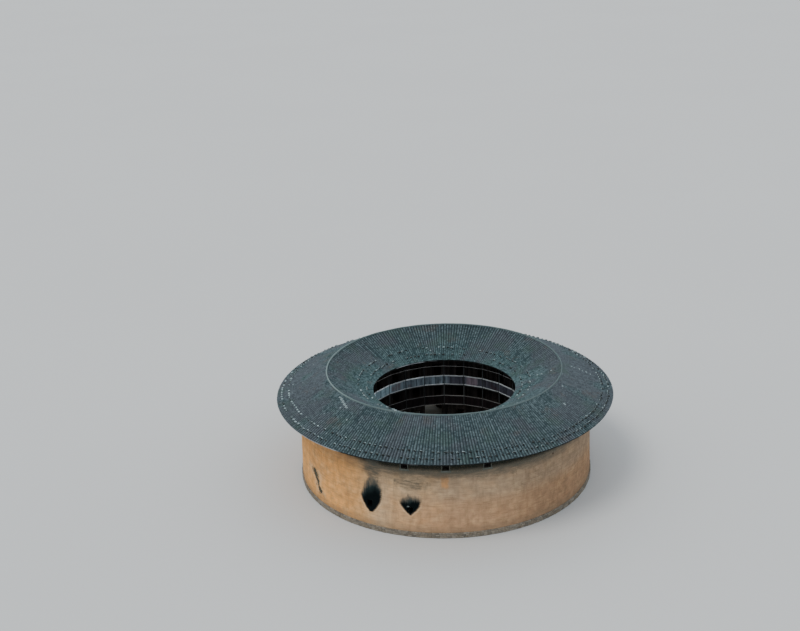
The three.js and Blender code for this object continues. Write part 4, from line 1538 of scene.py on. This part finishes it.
def gallery(name, floor, head, rail_height, planks, finishes, slot):
    """One gallery: planks, rail, hem, posts and head beam, a bay at a time."""
    boards_finish, rails_finish, posts_finish = finishes
    flat = SCREEN * FACET_FLAT
    wide = 2 * SCREEN * math.sin(math.radians(HALF_BAY))
    hem, top = floor - FLOOR_DEPTH, floor + SCREEN_HEIGHT
    bay = plank_bay(wide - 0.06, planks, flat, 0.036, hem + 0.004, top - rail_height)
    verts = len(bay.data.vertices) // planks
    boards = around(turned(bay, HALF_BAY), BAYS, BAY)
    jiggle_parts(boards, verts, seed_for(name), 0.0025, 0.25)
    finished(boards, f"{name}_boards", boards_finish, slot, f"{name}_right", f"{name}_left")

    rail = block((-wide / 2, wide / 2), (flat - 0.022, flat + 0.06), (top - rail_height, top), 0.008)
    hem_rail = block((-wide / 2, wide / 2), (flat - 0.014, flat - 0.001), (hem, hem + 0.09), 0.004)
    bars = around(turned(joined([rail, hem_rail]), HALF_BAY), BAYS, BAY)
    tone_parts(bars, BLOCK_VERTS, seed_for(name) + 1)
    finished(bars, f"{name}_rails", rails_finish, slot)

    face = SCREEN + 0.02
    flat_face, under = face * FACET_FLAT, head - BEAM_DEPTH
    beam = block((-wide / 2 - 0.01, wide / 2 + 0.01), (flat_face, flat_face + POST), (under, head), 0.012)
    post = block((-POST / 2, POST / 2), (face, face + POST), (floor, under), 0.016)
    foot = block((-0.045, 0.045), (SCREEN - 0.03, SCREEN + 0.03), (hem, top), 0.008)
    posts = joined([around(turned(beam, HALF_BAY), BAYS, BAY), around(joined([post, foot]), BAYS, BAY)])
    jiggle_parts(posts, BLOCK_VERTS, seed_for(name) + 2, 0.002, 0.3)
    finished(posts, f"{name}_posts", posts_finish, slot)


class ROUNDHOUSE_OT_galleries(bpy.types.Operator):
    """Puts up both galleries and the drying pole"""

    bl_idname = "roundhouse.galleries"
    bl_label = "Galleries"

    def execute(self, context):
        timber = context.scene.roundhouse_timber
        upright, lying = (7.0, 7.0, 1.4), (2.0, 2.0, 9.0)
        grey = timber_finish("gallery_timber", timber.gallery_colour, 1.9, upright, 0.8,
                             timber.red_fir_colour, 0.72,
                             ((2.3, 2.6, 2.5), (1.0, 0.63, 0.65), (0.32, 0.26, 0.29)))
        smoked = timber_finish("lower_gallery_timber", timber.lower_gallery_colour, 2.0, upright)
        sooty = timber_finish("post_timber", timber.post_colour, 1.8, upright)
        pale_timber = timber_finish("rail_timber", timber.rail_colour, 1.3, lying,
                                 sides=((1.25,) * 3, (0.9,) * 3, (0.85,) * 3))
        worn = timber_finish("worn_rail_timber", timber.worn_rail_colour, 1.5, lying)
        for name, floor, head, rail, boards, rails in (
                ("second_gallery", FLOORS["second"], FLOORS["third"] - FLOOR_DEPTH, 0.06, smoked, worn),
                ("third_gallery", FLOORS["third"], TIE_HEIGHT, 0.12, grey, pale_timber)):
            gallery(name, floor, head, rail, timber.gallery_planks, (boards, rails, sooty), "gallery_timber")
        radius, height, thick = POLE
        pole = log_ring(radius, height, thick, BAYS, 8)
        joint = add("cylinder", place=(0, -radius * FACET_FLAT, height), turn=(0, math.pi / 2, 0), vertices=8,
                    radius=thick * 1.12, depth=0.03)
        bevel(joint, 0.008)
        joint.location.x = -0.9
        joints = around(turned(along(settle(joint), 5, (0.45, 0, 0)), HALF_BAY), BAYS, BAY)
        bamboo = timber_finish("bamboo", timber.pole_colour, 1.3, (3.0, 3.0, 3.0), 0.55)
        finished(smooth(joined([pole, joints]), 50), "bamboo_pole", bamboo, "drying_pole", "drying_pole")
        return {"FINISHED"}


class ROUNDHOUSE_OT_room_fronts(bpy.types.Operator):
    """Boards up the fronts of the rooms on each storey, leaving a framed doorway in each bay"""

    bl_idname = "roundhouse.room_fronts"
    bl_label = "Room Fronts"

    def execute(self, context):
        timber = context.scene.roundhouse_timber
        dark = timber_finish("front_timber", timber.dark_colour, 2.2, (7.0, 7.0, 1.4))
        boards = floor_finish("floor_boards", timber.floor_colour)
        storeys = (("ground", PLATFORM[1], FLOORS["second"] - FLOOR_DEPTH),
                   ("second", FLOORS["second"], FLOORS["third"] - FLOOR_DEPTH),
                   ("third", FLOORS["third"], TIE_HEIGHT))
        for index, (name, floor, head) in enumerate(storeys):
            self.storey(name, floor, head, timber.front_plank, dark, 101 + 7 * index)
        for storey in FLOORS:
            for half in HALVES:
                coated(f"{storey}_floor_{half}", boards)
        return {"FINISHED"}

    @classmethod
    def storey(cls, name, floor, head, plank, finish, seed):
        """One storey's planks and posts, with the hall instead of a doorway behind the gate."""
        door = (DOOR[2] - DOOR[0] / 2, DOOR[2] + DOOR[0] / 2)
        bay = cls.boarded(floor, head, plank, door, DOOR[1], DOOR_FRAME, DOOR_FRAME)
        if name == "ground":
            hall = (-HALL[0] / 2, HALL[0] / 2)
            opening = turned(cls.boarded(floor, head, plank, hall, HALL[1], HALL_FRAME, 0), GATE_BEARING)
            bays = joined([around(turned(bay, GATE_BEARING + BAY), BAYS - 1, BAY), opening])
        else:
            bays = around(turned(bay, HALF_BAY), BAYS, BAY)
        jiggle_parts(bays, BLOCK_VERTS, seed, 0.002, 0.2)
        finished(bays, f"{name}_room_boards", finish, "dark_timber", f"{name}_room_front_right",
                 f"{name}_room_front_left")
        half = FRONT_POST / 2
        posts = around(block((-half, half), (FRONT - half, FRONT + half), (floor, head), 0.02), BAYS, BAY)
        jiggle_parts(posts, BLOCK_VERTS, seed + 1, 0.002, 0.5)
        finished(posts, f"{name}_room_posts", finish, "dark_timber")

    @staticmethod
    def boarded(floor, head, plank, opening, rise, frame_width, past):
        """The planks of one bay round an opening, those over it reaching past its sides, and its frame."""
        flat = FRONT * FACET_FLAT - FRONT_BOARD / 2
        side = FRONT * math.sin(math.radians(HALF_BAY)) - FRONT_POST / 2 + 0.01
        low, high = opening
        outer_low, outer_high, door_head = low - frame_width, high + frame_width, floor + rise

        def planks(left, right, bottom):
            count = max(1, round((right - left) / plank))
            step = (right - left) / count
            piece = block((left + 0.002, left + step - 0.002), (flat, flat + 0.045), (bottom, head), 0.004)
            return along(piece, count, (step, 0, 0))

        parts = [planks(-side, outer_low, floor), planks(outer_high, side, floor),
                 planks(low - past, high + past, door_head + frame_width)]
        parts += [block(across, (flat - 0.02, flat + 0.07), up, 0.006) for across, up in (
            ((outer_low, low), (floor, door_head)), ((high, outer_high), (floor, door_head)),
            ((outer_low, outer_high), (door_head, door_head + frame_width)))]
        return joined(parts)


# Stage

# The camera on the hillside: place, turns in radians, and focal length in millimetres
CAMERA_PLACE = (0, -120, 62.21)
CAMERA_YAW, CAMERA_PITCH, CAMERA_ROLL = -0.03854, 0.35215, -0.03344
CAMERA_LENS = 53.05


class ROUNDHOUSE_OT_stage(bpy.types.Operator):
    """Sets the pale floor, soft light and the camera on the hillside opposite"""

    bl_idname = "roundhouse.stage"
    bl_label = "Stage"

    def execute(self, context):
        look = context.scene.roundhouse_stage
        floor = add("plane", place=(0, 600, -0.002), size=4000)
        plain = Finish("studio_floor", 0.95, 0.1)
        cloudy = plain.noise(0.02, 2, 0.5).between(0.3, 0.7)
        plain.ground(cloudy, scaled(look.floor_colour, 0.985), look.floor_colour)
        floor.name = "studio_floor"
        floor.data.materials.append(plain.finish())

        world = bpy.data.worlds.new("soft_sky")
        world.use_nodes = True
        sky = world.node_tree.nodes["Background"]
        sky.inputs["Color"].default_value = (0.86, 0.93, 1.0, 1)
        sky.inputs["Strength"].default_value = look.sky
        context.scene.world = world
        self.sun("key_light", look.key, (math.radians(30), 0, math.radians(-50)), 24, (1.0, 0.97, 0.92))
        context.scene.camera = self.camera("hillside_camera")
        return {"FINISHED"}

    @staticmethod
    def camera(name):
        """A camera that looks along its yaw and pitch, rolled about that line."""
        ahead = np.array((math.sin(CAMERA_YAW) * math.cos(CAMERA_PITCH),
                          math.cos(CAMERA_YAW) * math.cos(CAMERA_PITCH), -math.sin(CAMERA_PITCH)))
        right = np.array((math.cos(CAMERA_YAW), -math.sin(CAMERA_YAW), 0.0))
        up = np.cross(right, ahead)
        tilted_right = right * math.cos(CAMERA_ROLL) + up * math.sin(CAMERA_ROLL)
        tilted_up = up * math.cos(CAMERA_ROLL) - right * math.sin(CAMERA_ROLL)
        data = bpy.data.cameras.new(name)
        data.lens, data.sensor_width, data.sensor_fit = CAMERA_LENS, 36.0, "HORIZONTAL"
        data.clip_start, data.clip_end = 1.0, 6000.0
        camera = bpy.data.objects.new(name, data)
        bpy.context.scene.collection.objects.link(camera)
        turn = Matrix((tilted_right, tilted_up, -ahead)).transposed()
        camera.matrix_world = Matrix.Translation(CAMERA_PLACE) @ turn.to_4x4()
        return camera

    @staticmethod
    def sun(name, strength, turn, spread, colour):
        """A soft light from far off."""
        light = bpy.data.lights.new(name, "SUN")
        light.energy, light.angle, light.color = strength, math.radians(spread), colour
        lamp = bpy.data.objects.new(name, light)
        lamp.rotation_euler = turn
        bpy.context.scene.collection.objects.link(lamp)


class ROUNDHOUSE_PT_panel(bpy.types.Panel):
    """Lists the roundhouse's pieces"""

    bl_idname = "ROUNDHOUSE_PT_panel"
    bl_label = "Roundhouse"
    bl_space_type = "VIEW_3D"
    bl_region_type = "UI"
    bl_category = "Roundhouse"

    def draw(self, context):
        for group in ("roof", "wall", "timber", "stage"):
            settings = getattr(context.scene, f"roundhouse_{group}")
            box = self.layout.box()
            box.label(text=group.capitalize())
            for name in settings.bl_rna.properties.keys():
                if name not in {"rna_type", "name"}:
                    box.prop(settings, name)
        for piece in PIECES:
            self.layout.operator(piece.bl_idname)


GROUPS = {
    "roof": RoundhouseRoof,
    "wall": RoundhouseWall,
    "timber": RoundhouseTimber,
    "stage": RoundhouseStage,
}
PIECES = (
    ROUNDHOUSE_OT_stage,
    ROUNDHOUSE_OT_tiles,
    ROUNDHOUSE_OT_ridge,
    ROUNDHOUSE_OT_weights,
    ROUNDHOUSE_OT_rafters,
    ROUNDHOUSE_OT_earth_wall,
    ROUNDHOUSE_OT_windows,
    ROUNDHOUSE_OT_stonework,
    ROUNDHOUSE_OT_gate,
    ROUNDHOUSE_OT_galleries,
    ROUNDHOUSE_OT_room_fronts,
)
CLASSES = (*GROUPS.values(), *PIECES, ROUNDHOUSE_PT_panel)


def register():
    for item in CLASSES:
        bpy.utils.register_class(item)
    for name, group in GROUPS.items():
        setattr(bpy.types.Scene, f"roundhouse_{name}", bpy.props.PointerProperty(type=group))


def unregister():
    for name in GROUPS:
        delattr(bpy.types.Scene, f"roundhouse_{name}")
    for item in reversed(CLASSES):
        bpy.utils.unregister_class(item)


def main():
    register()
    for piece in PIECES:
        group, name = piece.bl_idname.split(".")
        getattr(getattr(bpy.ops, group), name)()


if __name__ == "__main__":
    main()
